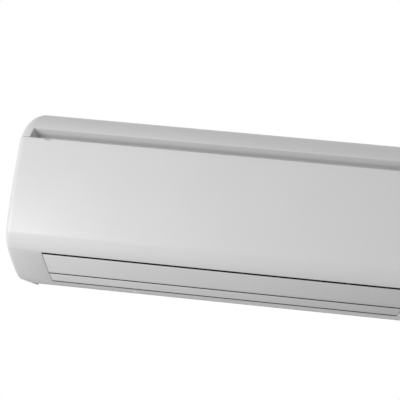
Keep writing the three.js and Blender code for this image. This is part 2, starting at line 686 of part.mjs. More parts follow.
function frontPanel(face) {
  const bead = barX(GAP - capFrom, capFrom - GAP, hinge, BEAD_RADIUS, 16);
  const ribs = [-2, -1, 0, 1, 2].map((step) => {
    const x = (step * WIDTH) / 6;
    return prism(band(panelLine.slice(6, -1), -PANEL_WALL - 2, -PANEL_WALL + 1), x - 1, x + 1);
  });
  return join(face.intersect(betweenCaps(CREASE[1] + GAP, HEIGHT)), bead, ...ribs);
}

// The strip along the panel's lower edge that curls in to the outlet.
const panelTrim = (face) => face.intersect(betweenCaps(0, CREASE[1]));

const panelEndCap = (face, side) => face.intersect(
  move(block(-WIDTH / 2, WIDTH / 2, 0, DEPTH, 0, HEIGHT), side * (WIDTH / 2 + capFrom), 0, 0),
);

// ---------------------------------------------------------------- filters
// Part of the filters' curved sheet between two radii.
function filterSector(from, to, outer, inner, steps) {
  return [
    ...round(filterCentre, outer, from, to, steps), ...round(filterCentre, inner, from, to, steps).reverse(),
  ];
}

function filter([x0, x1]) {
  const [a, b] = [x0 - FILTER_SIDE_GAP + GAP, x1 + FILTER_SIDE_GAP - GAP];
  const back = FILTER_RADIUS - FILTER_FRAME;
  const sheet = prism(filterSector(FILTER_FROM, FILTER_TO, FILTER_RADIUS, back, FILTER_STEPS), a, b);
  const degrees = (length) => (length / FILTER_RADIUS) * THREE.MathUtils.RAD2DEG;
  const column = (b - a - 2 * FILTER_BORDER + FILTER_RIB) / FILTER_COLUMNS;
  const row = (FILTER_TO - FILTER_FROM - degrees(2 * FILTER_BORDER - FILTER_RIB)) / FILTER_ROWS;
  const meshes = [];
  for (let i = 0; i < FILTER_COLUMNS; i++)
    for (let j = 0; j < FILTER_ROWS; j++) {
      const x = a + FILTER_BORDER + column * i;
      const from = FILTER_FROM + degrees(FILTER_BORDER) + row * j;
      const to = from + row - degrees(FILTER_RIB);
      const net = filterSector(from, to, FILTER_RADIUS + 1, back + FILTER_NET, 2);
      meshes.push(prism(net, x, x + column - FILTER_RIB));
    }
  const [tabD, tabZ] = spot(filterCentre, polar(FILTER_RADIUS, FILTER_FROM + 2));
  const tabX = (x0 + x1) / 2;
  const tab = block(tabX - 14, tabX + 14, tabD - 2, tabD + 4, tabZ - 1, tabZ + 1.4);
  return join(cut(sheet, wasm.Manifold.union(meshes)), tab);
}

// ---------------------------------------------------------------- heat exchanger
// A slab of fins from point a on its inner face, `length` along the given direction in degrees.
function finSlab(start, angle, length) {
  const along = polar(1, angle);
  const out = polar(1, angle - 90);
  const place = (s, n) => [
    start[0] + along[0] * s + out[0] * n, start[1] + along[1] * s + out[1] * n,
  ];
  return { place, length, outline: [place(0, 0), place(0, SLAB), place(length, SLAB), place(length, 0)] };
}

const LOWER_SLAB = finSlab([FAN_D + 63, PAN_TOP + GAP], 90, 61);
const UPPER_SLAB = finSlab(spot(LOWER_SLAB.place(LOWER_SLAB.length, 0), [-0.6, 1]), 132, 70);
const REAR_SLAB = finSlab([FAN_D + 9, FAN_Z + 106], 221.4, 62);

const tubePlace = (slab, i, row) =>
  slab.place((slab.length * (i + 0.5)) / TUBES_ALONG, SLAB / 2 + (row - 0.5) * TUBE_ROW);

function fins(slab) {
  const pitch = (SLAB_RIGHT - SLAB_LEFT) / FIN_GROOVES;
  const { place, length } = slab;
  const bottom = SLAB - GROOVE_DEPTH;
  const groove = [
    place(-1, bottom), place(-1, SLAB + 1), place(length + 1, SLAB + 1), place(length + 1, bottom),
  ];
  const grooves = Array.from({ length: FIN_GROOVES - 1 }, (_, i) => {
    const x = SLAB_LEFT + pitch * (i + 1);
    return prism(groove, x - GROOVE / 2, x + GROOVE / 2);
  });
  return cut(prism(slab.outline, SLAB_LEFT, SLAB_RIGHT), wasm.Manifold.union(grooves));
}

class ReturnBend extends THREE.Curve {
  constructor(x, side, from, to) {
    super();
    Object.assign(this, { x, side, from, to });
  }

  getPoint(t, target = new THREE.Vector3()) {
    const straight = BEND_CLEAR;
    const turn = Math.PI * t;
    const middle = [(this.from[0] + this.to[0]) / 2, (this.from[1] + this.to[1]) / 2];
    const half = [(this.from[0] - this.to[0]) / 2, (this.from[1] - this.to[1]) / 2];
    const reach = straight * Math.min(1, Math.sin(turn) * 4) + (TUBE_ROW / 2) * Math.sin(turn);
    return target.set(
      this.x + this.side * reach,
      -(middle[0] + half[0] * Math.cos(turn)),
      middle[1] + half[1] * Math.cos(turn),
    );
  }
}

function bendTube(curve, radius, sides, steps) {
  const section = new THREE.Shape(Array.from({ length: sides }, (_, i) => {
    const angle = (2 * Math.PI * i) / sides;
    return new THREE.Vector2(radius * Math.cos(angle), radius * Math.sin(angle));
  }));
  return toSolid(new THREE.ExtrudeGeometry(section, { steps, bevelEnabled: false, extrudePath: curve }));
}

function returnBends(slab, side, count = TUBES_ALONG) {
  const x = side < 0 ? SLAB_LEFT - 0.6 : SLAB_RIGHT + 0.6;
  return Array.from({ length: count }, (_, i) =>
    bendTube(new ReturnBend(x, side, tubePlace(slab, i, 0), tubePlace(slab, i, 1)), TUBE_RADIUS, 6, 5));
}

function endSheets(outline) {
  const reach = 0.4;
  return [
    prism(outline, SLAB_LEFT - SHEET, SLAB_LEFT + reach),
    prism(outline, SLAB_RIGHT - reach, SLAB_RIGHT + SHEET),
  ];
}

function frontEvaporator() {
  const [lower, upper] = [LOWER_SLAB, UPPER_SLAB];
  const sheet = [
    lower.place(0, -2), lower.place(0, SLAB + 1), lower.place(lower.length, SLAB + 1),
    upper.place(0, SLAB + 1), upper.place(upper.length, SLAB + 1), upper.place(upper.length, -2),
    upper.place(0, -2),
  ];
  const bends = [lower, upper].flatMap((slab) => [-1, 1].flatMap((side) => returnBends(slab, side)));
  return join(fins(lower), fins(upper), ...endSheets(sheet), ...bends);
}

function rearEvaporator() {
  const slab = REAR_SLAB;
  const sheet = [
    slab.place(0, -2), slab.place(0, SLAB + 1), slab.place(slab.length, SLAB + 1), slab.place(slab.length, 0),
  ];
  const bends = [...returnBends(slab, -1), ...returnBends(slab, 1, TUBES_ALONG - 1)];
  const stubs = [0, 1].map((row) =>
    barX(SLAB_RIGHT - 1, SLAB_RIGHT + STUB, tubePlace(slab, TUBES_ALONG - 1, row), TUBE_RADIUS, 8));
  return join(fins(slab), ...endSheets(sheet), ...bends, ...stubs);
}

// ---------------------------------------------------------------- fan
const fanEnds = [leftWall[1] + FAN_END_GAP, rightWall[0] - FAN_END_GAP];

function fanBlade() {
  const inner = FAN_RADIUS - 1 - BLADE_DEPTH;
  const middle = FAN_RADIUS - 1 - BLADE_DEPTH / 2;
  const line = [
    polar(FAN_RADIUS - 1, 0), polar(middle, -BLADE_LEAN / 2 + 3.2), polar(inner, -BLADE_LEAN),
  ].map((point) => spot(point, fanCentre));
  return prism(strip(line, BLADE_WALL), fanEnds[0] + FAN_DISC / 2, fanEnds[1] - FAN_DISC / 2);
}

function fanRotor() {
  const blade = fanBlade();
  const blades = Array.from({ length: FAN_BLADES }, (_, i) =>
    blade
      .translate([0, FAN_D, -FAN_Z])
      .rotate([(360 * i) / FAN_BLADES, 0, 0])
      .translate([0, -FAN_D, FAN_Z]));
  const length = fanEnds[1] - fanEnds[0];
  const discs = Array.from({ length: FAN_SECTIONS + 1 }, (_, i) => {
    const x = fanEnds[0] + ((length - FAN_DISC) * i) / FAN_SECTIONS;
    const disc = barX(x, x + FAN_DISC, fanCentre, FAN_RADIUS, 30);
    const isEnd = i === 0 || i === FAN_SECTIONS;
    return isEnd ? disc : disc.subtract(barX(x - 1, x + 3, fanCentre, FAN_RADIUS - BLADE_DEPTH - 3, 18));
  });
  const hub = barX(fanEnds[1] - HUB_LENGTH, fanEnds[1], fanCentre, HUB_RADIUS, 24);
  const shaftBore = barX(fanEnds[1] - HUB_LENGTH + 3, fanEnds[1] + 1, fanCentre, SHAFT_RADIUS + GAP, 20);
  const stub = barX(leftWall[0] - 4, fanEnds[0] + 1, fanCentre, SHAFT_RADIUS, 20);
  return cut(join(wasm.Manifold.union(blades), ...discs, hub, stub), shaftBore);
}

const motorFace = rightWall[1] + MOTOR_GAP;

function fanShaft() {
  return barX(fanEnds[1] - HUB_LENGTH + 3 + GAP, motorFace + 14, fanCentre, SHAFT_RADIUS, 20);
}

function fanMotor() {
  const [r, l] = [MOTOR_RADIUS, MOTOR_LENGTH];
  const bore = SHAFT_RADIUS + GAP;
  const boss = 12;
  return turned([
    [-4, bore], [-4, boss], [0, boss], [0, r - 4], [4, r], [l * 0.42, r], [l * 0.42, r + 2],
    [l * 0.58, r + 2], [l * 0.58, r], [l - 4, r], [l, r - 4], [l, 0], [16, 0], [16, bore],
  ], motorFace, fanCentre, 20);
}

function fanBush() {
  const [half, lip] = [BEARING_WIDTH / 2, CHASSIS_WALL / 2 + GAP];
  return turned([
    [-half, BEARING_OUTER + GAP], [-half, BUSH_FLANGE - 1], [-half + 1, BUSH_FLANGE], [-lip, BUSH_FLANGE],
    [-lip, BEARING_RADIUS], [lip, BEARING_RADIUS], [lip, BUSH_FLANGE], [half - 1, BUSH_FLANGE],
    [half, BUSH_FLANGE - 1], [half, BEARING_OUTER + GAP],
  ].map(([x, r]) => [x * (x > lip ? 0.62 : 1), r]), (leftWall[0] + leftWall[1]) / 2, fanCentre, 18);
}

function fanBearing() {
  const half = BEARING_WIDTH / 2;
  return turned([
    [-half - 1, SHAFT_RADIUS + GAP], [-half - 1, BEARING_OUTER - 1], [-half, BEARING_OUTER],
    [half * 0.5, BEARING_OUTER], [half * 0.62, BEARING_OUTER - 1], [half * 0.62, SHAFT_RADIUS + GAP],
  ], (leftWall[0] + leftWall[1]) / 2, fanCentre, 16);
}

// ---------------------------------------------------------------- chassis
const troughFloor = REAR_SLAB.place(REAR_SLAB.length, 0)[1] - GAP;
const ductSide = unit(DUCT_END[0] - TONGUE[0], DUCT_END[1] - TONGUE[1]);
const insideDuct = (point, by) => [point[0] + ductSide[1] * by, point[1] - ductSide[0] * by];

// The duct's lower wall on its air side, from over the fan round its back to the outlet.
function scrollLine() {
  const steps = 9;
  const spiral = Array.from({ length: steps + 1 }, (_, i) => {
    const share = i / steps;
    const gap = SCROLL_GAP_FROM + (SCROLL_GAP_TO - SCROLL_GAP_FROM) * share;
    return spot(fanCentre, polar(FAN_RADIUS + gap, SCROLL_FROM + (SCROLL_TO - SCROLL_FROM) * share));
  });
  return [...spiral, spot(offset(outletLine, -CASING_WALL - GAP - 1)[0], [0, 2.2])];
}

// The side view of the air's way, or of an end wall, which is `wall` larger behind the scroll.
function airOutline(wall) {
  return [
    ...round(fanCentre, FAN_RADIUS + SCROLL_GAP_FROM, 14, SCROLL_FROM, 8),
    ...offset(scrollLine(), wall),
    ...offset(outletLine, -CASING_WALL - GAP).slice(1),
    insideDuct(DUCT_END, GAP),
    insideDuct(TONGUE, GAP),
    [TONGUE[0] - 2 * GAP, PAN_TOP],
  ];
}

function chassisWeb(x, wall) {
  const web = block(x, x + wall, BACK_WALL + 1, SCREW_D, channelTop, troughFloor - 1);
  return cut(web, prism(airOutline(1), x - 1, x + wall + 1));
}

function motorCradle() {
  const webs = [9, MOTOR_LENGTH - 12].map((along) => {
    const x = motorFace + along;
    const foot = block(x, x + 3, BACK_WALL + 1, FAN_D + 20, channelTop, FAN_Z - 10);
    const ring = prism([
      ...round(fanCentre, MOTOR_RADIUS + GAP + 3, 170, 330, 16),
      ...round(fanCentre, MOTOR_RADIUS + GAP, 170, 330, 16).reverse(),
    ], x - 3, x + 6);
    return join(cut(foot, barX(x - 1, x + 4, fanCentre, MOTOR_RADIUS + 2 * GAP, 40)), ring);
  });
  return join(...webs);
}

function hookSlot(x) {
  const half = HOOK_WIDTH / 2 + 3;
  return block(
    x - half, x + half, 0, BACK_WALL + CHASSIS_WALL + 1,
    HOOK_Z - LIFT, HOOK_Z + PLATE_WALL + GAP,
  );
}

function insideOfCasing() {
  const seat = CASING_WALL + GAP;
  return cut(casingForm(seat), prism(pocketBand(seat), -WIDTH, WIDTH));
}

// A rib across the pipes' channel, with two slots that hold the pipes against the wall side.
function pipeClip(x) {
  const rib = block(
    x, x + CLIP_WIDTH, LIQUID_RUN[0] - 7, PIPE_RECESS_DEPTH + 1, LIQUID_RUN[1] - 6, PIPE_RECESS_TOP + 1,
  );
  const ways = [[GAS_RUN, GAS_RADIUS], [LIQUID_RUN, LIQUID_RADIUS]].map(([run, radius]) => join(
    barX(x - 1, x + CLIP_WIDTH + 1, run, radius + GAP, 16),
    block(x - 1, x + CLIP_WIDTH + 1, 0, run[0], run[1] - radius + GAP, run[1] + radius - GAP),
  ));
  return cut(rib, ...ways);
}

// The angle under the chassis that the pipes and the drain run behind.
function pipeChannel() {
  const front = PIPE_RECESS_DEPTH + CHASSIS_WALL;
  const half = sideInside - GAP;
  const low = underside * PIPE_RECESS_DEPTH;
  const drainBoss = cut(
    block(DRAIN_X - 4, DRAIN_X + 4, DRAIN[0] - 13, DRAIN[0] + 13, DRAIN[1] - 13, PIPE_RECESS_TOP + 1),
    barX(DRAIN_X - 5, DRAIN_X + 5, DRAIN, SPIGOT_BORE, 20),
  );
  return cut(
    join(
      block(-INSIDE, INSIDE, BACK_GAP, front, PIPE_RECESS_TOP, PIPE_RECESS_TOP + CHASSIS_WALL)
        .intersect(insideOfCasing()),
      block(-half, half, PIPE_RECESS_DEPTH, front, low, PIPE_RECESS_TOP + 1),
      drainBoss, ...CLIP_X.map(pipeClip),
    ),
    block(...PIPE_NOTCH, BACK_GAP + CHASSIS_WALL + 2, PIPE_RECESS_DEPTH, 50, channelTop + 1),
  );
}

function rearChassis() {
  const [x0, x1] = [leftWall[0], rightWall[1]];
  const [panLeft, panRight] = panEnds;
  const scroll = scrollLine();
  const scrollTop = offset(scroll, CHASSIS_WALL / 2)[0];
  const lipD = REAR_SLAB.place(REAR_SLAB.length, 0)[0] + 3;
  const trough = prism([
    [BACK_WALL, troughFloor - CHASSIS_WALL], scrollTop, spot(scrollTop, [3, -1]),
    [lipD + CHASSIS_WALL, troughFloor - 1], [lipD + CHASSIS_WALL, troughFloor + 2],
    [lipD, troughFloor + 2], [lipD - 1, troughFloor], [BACK_WALL, troughFloor],
  ], panLeft, panRight);
  const webs = [-0.32, 0, 0.32].map((share) => chassisWeb((x0 + x1) / 2 + share * (x1 - x0), 2.5));
  const bosses = SCREW_X.map((x) => bar(
    at(x, SCREW_D, screwSeat + CASING_WALL + GAP), at(x, SCREW_D, 72), SCREW_RADIUS + GAP + 2.6, 16,
  ));
  const boxRibs = [BOX_LEFT + 12, BOX_RIGHT - 16].map((x) =>
    block(x, x + 3, BACK_WALL + 1, BOX_BACK - GAP, BOX_LOW + 8, BOX_HIGH - 12));
  const air = prism(airOutline(0), x0 + CHASSIS_WALL, x1 - CHASSIS_WALL);
  const casingInside = insideOfCasing();
  const body = join(
    cut(join(prism(strip(scroll, CHASSIS_WALL), x0, x1), trough, ...webs, ...bosses), air),
    prism(airOutline(CHASSIS_WALL), ...leftWall), prism(airOutline(CHASSIS_WALL), ...rightWall),
    chassisWeb(x0, CHASSIS_WALL), chassisWeb(x1 - CHASSIS_WALL, CHASSIS_WALL),
    block(-INSIDE, INSIDE, BACK_WALL, BACK_WALL + CHASSIS_WALL, channelTop, HEIGHT - CASING_WALL - 1),
    motorCradle(), ...boxRibs,
  ).intersect(casingInside);
  const holes = [UPPER_PIVOT, LOWER_PIVOT].map((pivot) => barX(x0 - 1, x1 + 1, pivot, FLAP_PIN + GAP, 12));
  const screwBores = SCREW_X.map((x) => bar(at(x, SCREW_D, 0), at(x, SCREW_D, 60), SCREW_RADIUS + GAP, 12));
  return withoutCrumbs(cut(
    body, ...holes, ...screwBores, hookSlot(-HOOK_X), hookSlot(HOOK_X),
    block(-WIDTH, WIDTH, 0, PIPE_RECESS_DEPTH + CHASSIS_WALL + GAP, BEHIND, channelTop),
    barX(leftWall[0] - 1, leftWall[1] + 1, fanCentre, BEARING_RADIUS + GAP, 18),
    barX(rightWall[0] - 1, rightWall[1] + 1, fanCentre, HUB_RADIUS + 3, 20),
    barX(OUTLET_LEFT, OUTLET_RIGHT, LOWER_PIVOT, flapSweep, 24),
    ...vaneHoles(),
  ));
}

// ---------------------------------------------------------------- drain pan
const panEnds = [SLAB_LEFT - 20, SLAB_RIGHT + 20];

// The point on the duct's roof at height z, or `out` above that roof.
function roofAt(z, out) {
  const [d0, z0] = insideDuct(TONGUE, -out);
  return [d0 + ((z - z0) * ductSide[0]) / ductSide[1], z];
}

function drainPan() {
  const [x0, x1] = panEnds;
  const floor = PAN_FLOOR + PAN_WALL;
  const [lip, rim, edge] = [TONGUE[0], PAN_FRONT - PAN_WALL, PAN_TOP - 1];
  const profile = [
    TONGUE, DUCT_END, insideDuct(DUCT_END, -PAN_WALL), roofAt(PAN_FLOOR, PAN_WALL), [PAN_FRONT, PAN_FLOOR],
    [PAN_FRONT, edge], [rim, edge], [rim, floor], roofAt(floor, PAN_WALL), roofAt(TONGUE[1], PAN_WALL),
    [lip + PAN_WALL + 1, edge], [lip + 1.5, edge], [lip, edge - 2],
  ];
  const section = [
    roofAt(PAN_FLOOR + 1, 2), [PAN_FRONT - 1, PAN_FLOOR + 1], [PAN_FRONT - 1, PAN_TOP],
    [lip + 3, PAN_TOP], roofAt(TONGUE[1], 2),
  ];
  const seats = Array.from({ length: VANES }, (_, i) => OUTLET_LEFT + vanePitch * (2 * i + 1) - 1);
  const plates = [x0 + 1, x1 - 3, ...seats].map((x) => prism(section, x, x + 2));
  const drips = seats.map((x) => block(x - 1, x + 3, lip + 22, lip + 34, floor + 1, floor + 6));
  return cut(join(prism(profile, x0, x1), ...plates), ...drips, ...vaneHoles());
}

// ---------------------------------------------------------------- flaps
const outletArc = (from, to, steps) => arc(OUTLET_LOW, OUTLET_HIGH, OUTLET_BULGE, steps, from, to);
const outletLength = Math.hypot(OUTLET_HIGH[0] - OUTLET_LOW[0], OUTLET_HIGH[1] - OUTLET_LOW[1]);
const flapEnds = [OUTLET_LEFT + OUTLET_TAPER + FLAP_END_GAP, OUTLET_RIGHT - OUTLET_TAPER - FLAP_END_GAP];
// Radius that the lower flap's own lower edge sweeps as it opens
const flapSweep = Math.hypot(LOWER_PIVOT[0] - OUTLET_LOW[0], LOWER_PIVOT[1] - OUTLET_LOW[1]) + GAP;

// A curved blade with round edges, between two shares of the outlet's arc.
function flapBlade(from, to) {
  const half = FLAP_WALL / 2;
  const edge = half / outletLength;
  const spine = offset(outletArc(from + edge, to - edge, 4), -half);
  const [start, end] = [outward(spine, 0), outward(spine, spine.length - 1)];
  const cap = (centre, [ud, uz], side) => Array.from({ length: 3 }, (_, i) => {
    const angle = Math.atan2(uz, ud) + side * Math.PI / 2 + (Math.PI * (i + 1)) / 4;
    return spot(centre, [half * Math.cos(angle), half * Math.sin(angle)]);
  });
  return outletPrism([
    ...offset(spine, half), ...cap(spine.at(-1), end, -1),
    ...offset(spine, -half).reverse(), ...cap(spine[0], start, 1),
  ], FLAP_END_GAP);
}

function flapLug(pivot, [footA, footB], x0, x1) {
  const radius = FLAP_PIN + GAP + 2;
  const foot = spot(footA, [(footB[0] - footA[0]) / 2, (footB[1] - footA[1]) / 2]);
  const [ud, uz] = unit(pivot[0] - foot[0], pivot[1] - foot[1]);
  const wing = [-uz * radius, ud * radius];
  const blade = prism([footA, spot(pivot, wing.map((v) => -v)), spot(pivot, wing), footB], x0, x1);
  return blade.add(barX(x0, x1, pivot, radius, 12));
}

function flap(pivot, from, to, drivenLength) {
  const [x0, x1] = flapEnds;
  const middle = (from + to) / 2;
  const feet = offset(outletArc(middle - 0.06, middle + 0.06, 2), -FLAP_WALL / 2);
  const [footB, , footA] = feet;
  const bore = barX(x0 - 1, x0 + FLAP_LUG + 4, pivot, FLAP_PIN + GAP, 12);
  return cut(join(
    flapBlade(from, to),
    flapLug(pivot, [footA, footB], x0, x0 + FLAP_LUG + 4),
    flapLug(pivot, [footA, footB], x1 - FLAP_LUG, x1),
    barX(x1 - 1, x1 + drivenLength, pivot, FLAP_PIN, 10),
  ), bore);
}

const wallReach = OUTLET_TAPER + FLAP_END_GAP + END_WALL_GAP + CHASSIS_WALL;
const upperFlap = () => flap(
  UPPER_PIVOT, FLAP_MIDDLE + FLAP_MIDDLE_GAP / 2 / outletLength, 1 - FLAP_TOP_GAP / outletLength,
  wallReach + MOTOR_SOCKET,
);
const lowerFlap = () => flap(
  LOWER_PIVOT, FLAP_LOW_GAP / outletLength, FLAP_MIDDLE - FLAP_MIDDLE_GAP / 2 / outletLength, wallReach,
);

const crankX = [leftWall[0] - GAP - CRANK_WALL, leftWall[0] - GAP];
const linkX = [crankX[0] - GAP - CRANK_WALL, crankX[0] - GAP];

function capsule(a, b, radius, x0, x1) {
  const [ud, uz] = unit(b[0] - a[0], b[1] - a[1]);
  const side = [-uz * radius, ud * radius];
  const back = side.map((v) => -v);
  return join(
    prism([spot(a, side), spot(a, back), spot(b, back), spot(b, side)], x0, x1),
    barX(x0, x1, a, radius), barX(x0, x1, b, radius),
  );
}

function flapCrank(pivot) {
  const end = spot(pivot, crankEnd);
  return join(
    capsule(pivot, end, CRANK_RADIUS, ...crankX),
    barX(crankX[1] - 1, flapEnds[0] + FLAP_LUG + 3, pivot, FLAP_PIN, 10),
    barX(linkX[0] - 1, crankX[0] + 1, end, LINK_PIN, 8),
  );
}

function flapLink() {
  const ends = [UPPER_PIVOT, LOWER_PIVOT].map((pivot) => spot(pivot, crankEnd));
  const holes = ends.map((end) => barX(linkX[0] - 1, linkX[1] + 1, end, LINK_PIN + GAP, 10));
  return cut(capsule(...ends, CRANK_RADIUS + 0.4, ...linkX), ...holes);
}

function flapMotor() {
  const face = rightWall[1] + GAP;
  const inward = offset(outletArc(0.6, 0.62, 1), -1)[0];
  const from = outletArc(0.6, 0.62, 1)[0];
  const centre = spot(UPPER_PIVOT, [
    (inward[0] - from[0]) * STEPPER_OFFSET, (inward[1] - from[1]) * STEPPER_OFFSET,
  ]);
  const can = turned([
    [0, 0], [0, STEPPER_RADIUS], [STEPPER_LENGTH - 1, STEPPER_RADIUS],
    [STEPPER_LENGTH, STEPPER_RADIUS - 1], [STEPPER_LENGTH, 0],
  ], face, centre, 16);
  const ears = capsule(
    spot(centre, [-STEPPER_RADIUS - 3, 2]), spot(centre, [STEPPER_RADIUS + 3, -2]), 3, face, face + 1.2,
  );
  const shaftHole = barX(face - 1, face + MOTOR_SOCKET + 1, UPPER_PIVOT, FLAP_PIN + GAP, 16);
  return cut(join(can, ears), shaftHole);
}

// ---------------------------------------------------------------- vanes
const vanePitch = (OUTLET_RIGHT - OUTLET_LEFT) / 2 / VANES;
const vaneGroups = (() => {
  const middle = (OUTLET_LEFT + OUTLET_RIGHT) / 2;
  const places = (from) => Array.from({ length: VANES }, (_, i) => from + vanePitch * (i + 0.5));
  return { left: places(OUTLET_LEFT), right: places(middle) };
})();
const ductRoof = Math.min(flowAcross(TONGUE), flowAcross(DUCT_END));

function flowAcross([d, z]) {
  return (d - OUTLET_LOW[0]) * Math.sin(rad(FLOW_ANGLE)) + (z - OUTLET_LOW[1]) * Math.cos(rad(FLOW_ANGLE));
}

const vanePin = (x, s, n0, n1, radius) => bar(at(x, ...flow(s, n0)), at(x, ...flow(s, n1)), radius, 6);

function vaneHoles() {
  return [...vaneGroups.left, ...vaneGroups.right].map((x) =>
    vanePin(x, VANE_PIVOT, VANE_LOW - 12, ductRoof + PAN_WALL + 1, VANE_PIN + GAP));
}

function vane(x) {
  const corner = 6;
  const outline = [
    [VANE_BACK, VANE_LOW + corner], [VANE_BACK + corner, VANE_LOW], [VANE_FRONT - 2 * corner, VANE_LOW],
    [VANE_FRONT, VANE_LOW + 3 * corner], [VANE_FRONT, VANE_HIGH - corner / 2],
    [VANE_FRONT - corner / 2, VANE_HIGH], [VANE_BACK, VANE_HIGH],
  ].map(([s, n]) => flow(s, n));
  return join(
    prism(outline, x - VANE_WALL / 2, x + VANE_WALL / 2),
    vanePin(x, VANE_PIVOT, VANE_HIGH - 5, ductRoof + PAN_WALL, VANE_PIN),
    vanePin(x, VANE_PIVOT, VANE_LOW - 6, VANE_LOW + 5, VANE_PIN),
    vanePin(x, VANE_LINK, VANE_HIGH - 5, ROD_PLACE[1] + 1, ROD_PIN),
  );
}

function vaneRod(places) {
  const [n0, n1] = ROD_PLACE;
  const half = ROD_HALF;
  const section = [
    flow(VANE_LINK - half, n0), flow(VANE_LINK + half, n0),
    flow(VANE_LINK + half, n1), flow(VANE_LINK - half, n1),
  ];
  const rod = prism(section, places[0] - 7, places.at(-1) + 7);
  const middle = places[Math.floor(VANES / 2)];
  const tab = prism([
    flow(VANE_LINK - half + 1, n0), flow(VANE_LINK + half, n0), flow(VANE_LINK + half + 5, n0 - 9),
    flow(VANE_LINK + half + 2, n0 - 10),
  ], middle + 14, middle + 32);
  return cut(join(rod, tab), ...places.map((x) => vanePin(x, VANE_LINK, n0 - 1, n1 + 1, ROD_PIN + GAP)));
}

// ---------------------------------------------------------------- motor clamp
function motorClamp() {
  const x = motorFace + MOTOR_LENGTH / 2;
  const half = 9;
  const reach = MOTOR_RADIUS + 2 + GAP;
  return prism([
    ...round(fanCentre, reach + 2.4, 8, 152, 18), ...round(fanCentre, reach, 8, 152, 18).reverse(),
  ], x - half, x + half);
}

// ---------------------------------------------------------------- mounting plate
function wallHook(x) {
  const leg = BACK_WALL + CHASSIS_WALL + GAP;
  const half = HOOK_WIDTH / 2;
  return join(
    block(x - half, x + half, PLATE_WALL / 2, leg + PLATE_WALL, HOOK_Z, HOOK_Z + PLATE_WALL),
    block(x - half, x + half, leg, leg + PLATE_WALL, HOOK_Z, HOOK_Z + HOOK_HEIGHT),
  );
}

function mountingPlate() {
  const corner = 12;
  const [low, high, half] = [PLATE_LOW, PLATE_HIGH, PLATE_HALF];
  const shape = new THREE.Shape();
  const outline = [
    [-half + corner, low], [-half + 150, low], [-half + 162, low + 20], [half - 162, low + 20],
    [half - 150, low], [half - corner, low], [half, low + corner], [half, high - corner],
    [half - corner, high], [-half + corner, high], [-half, high - corner], [-half, low + corner],
  ];
  outline.forEach(([x, z], i) => (i ? shape.lineTo(x, z) : shape.moveTo(x, z)));
  const path = (points) => new THREE.Path(points.map(([x, z]) => new THREE.Vector2(x, z)));
  const slot = (x, z, half) => path([
    ...round([x + half, z], SCREW_SLOT, -90, 90, 3), ...round([x - half, z], SCREW_SLOT, 90, 270, 3),
  ]);
  for (let column = -3; column <= 3; column++)
    for (const z of [low + 44, high - 14]) if (column % 2) shape.holes.push(slot(column * SLOT_PITCH, z, 5));
  const geometry = new THREE.ExtrudeGeometry(shape, {
    depth: PLATE_WALL, bevelEnabled: false, curveSegments: 4,
  });
  geometry.rotateX(Math.PI / 2);
  const windows = [-1, 1].map((side) => {
    const x = (side * half) / 2;
    return block(x - 50, x + 50, -1, PLATE_WALL + 1, low + 54, high - 48);
  });
  return join(cut(toSolid(geometry), ...windows), wallHook(-HOOK_X), wallHook(HOOK_X));
}

// ---------------------------------------------------------------- pipes and drain
// Straight runs through the corners, with a bend of the given radius at each, one step a run.
class PipeRun extends THREE.Curve {
  constructor(corners, radius, bendSteps = 4) {
    super();
    const bends = corners.slice(1, -1).flatMap((corner, i) => {
      const before = corners[i].clone().sub(corner).setLength(radius).add(corner);
      const after = corners[i + 2].clone().sub(corner).setLength(radius).add(corner);
      return new THREE.QuadraticBezierCurve3(before, corner, after).getPoints(bendSteps);
    });
    this.points = [corners[0], ...bends, corners.at(-1)];
  }

  getPoint(t, target = new THREE.Vector3()) {
    const place = t * (this.points.length - 1);
    const from = Math.min(Math.floor(place), this.points.length - 2);
    return target.lerpVectors(this.points[from], this.points[from + 1], place - from);
  }

  getPointAt(u, target) {
    return this.getPoint(u, target);
  }

  getTangentAt(u, target) {
    return this.getTangent(u, target);
  }
}

function pipe(slab, row, radius, dropX, [runD, runZ], endX) {
  const [d, z] = tubePlace(slab, TUBES_ALONG - 1, row);
  const corners = [
    at(SLAB_RIGHT + STUB + GAP, d, z), at(dropX, d, z), at(dropX, runD - 3, z - 24),
    at(dropX, runD, runZ), at(endX, runD, runZ),
  ];
  const run = new PipeRun(corners, 9);
  return bendTube(run, radius, 8, run.points.length - 1);
}

const gasX = PIPE_NOTCH[0] + 25.5;
const liquidX = PIPE_NOTCH[0] + 16;
const gasPipe = () => pipe(REAR_SLAB, 1, GAS_RADIUS, gasX, GAS_RUN, GAS_END);
const liquidPipe = () => pipe(REAR_SLAB, 0, LIQUID_RADIUS, liquidX, LIQUID_RUN, LIQUID_END);

function flareNut(x, place, bore) {
  const across = bore * 1.75;
  const hex = barX(x - NUT_LENGTH, x - GAP, place, across, NUT_SIDES);
  return cut(hex, barX(x - NUT_LENGTH - 1, x - NUT_LENGTH + 9, place, bore * 0.9, 20));
}

function drainSpigot() {
  const from = DRAIN_X + 4 + GAP;
  return turned([
    [0, SPIGOT_BORE], [0, SPIGOT_RADIUS + 3], [2.5, SPIGOT_RADIUS + 3], [2.5, SPIGOT_RADIUS],
    [SPIGOT_LENGTH - 8, SPIGOT_RADIUS], [SPIGOT_LENGTH - 8, SPIGOT_RADIUS + 0.8],
    [SPIGOT_LENGTH - 5, SPIGOT_RADIUS + 0.8], [SPIGOT_LENGTH, SPIGOT_RADIUS - 0.8],
    [SPIGOT_LENGTH, SPIGOT_BORE],
  ], from, DRAIN, 16);
}

function drainPlug() {
  return turned([
    [-9, 0], [-9, SPIGOT_RADIUS - 1], [-8, SPIGOT_RADIUS + 2], [0, SPIGOT_RADIUS + 2], [0, SPIGOT_BORE - GAP],
    [6, SPIGOT_BORE - GAP - 0.8], [6, 0],
  ], DRAIN_X - 4 - GAP, DRAIN, 14);
}

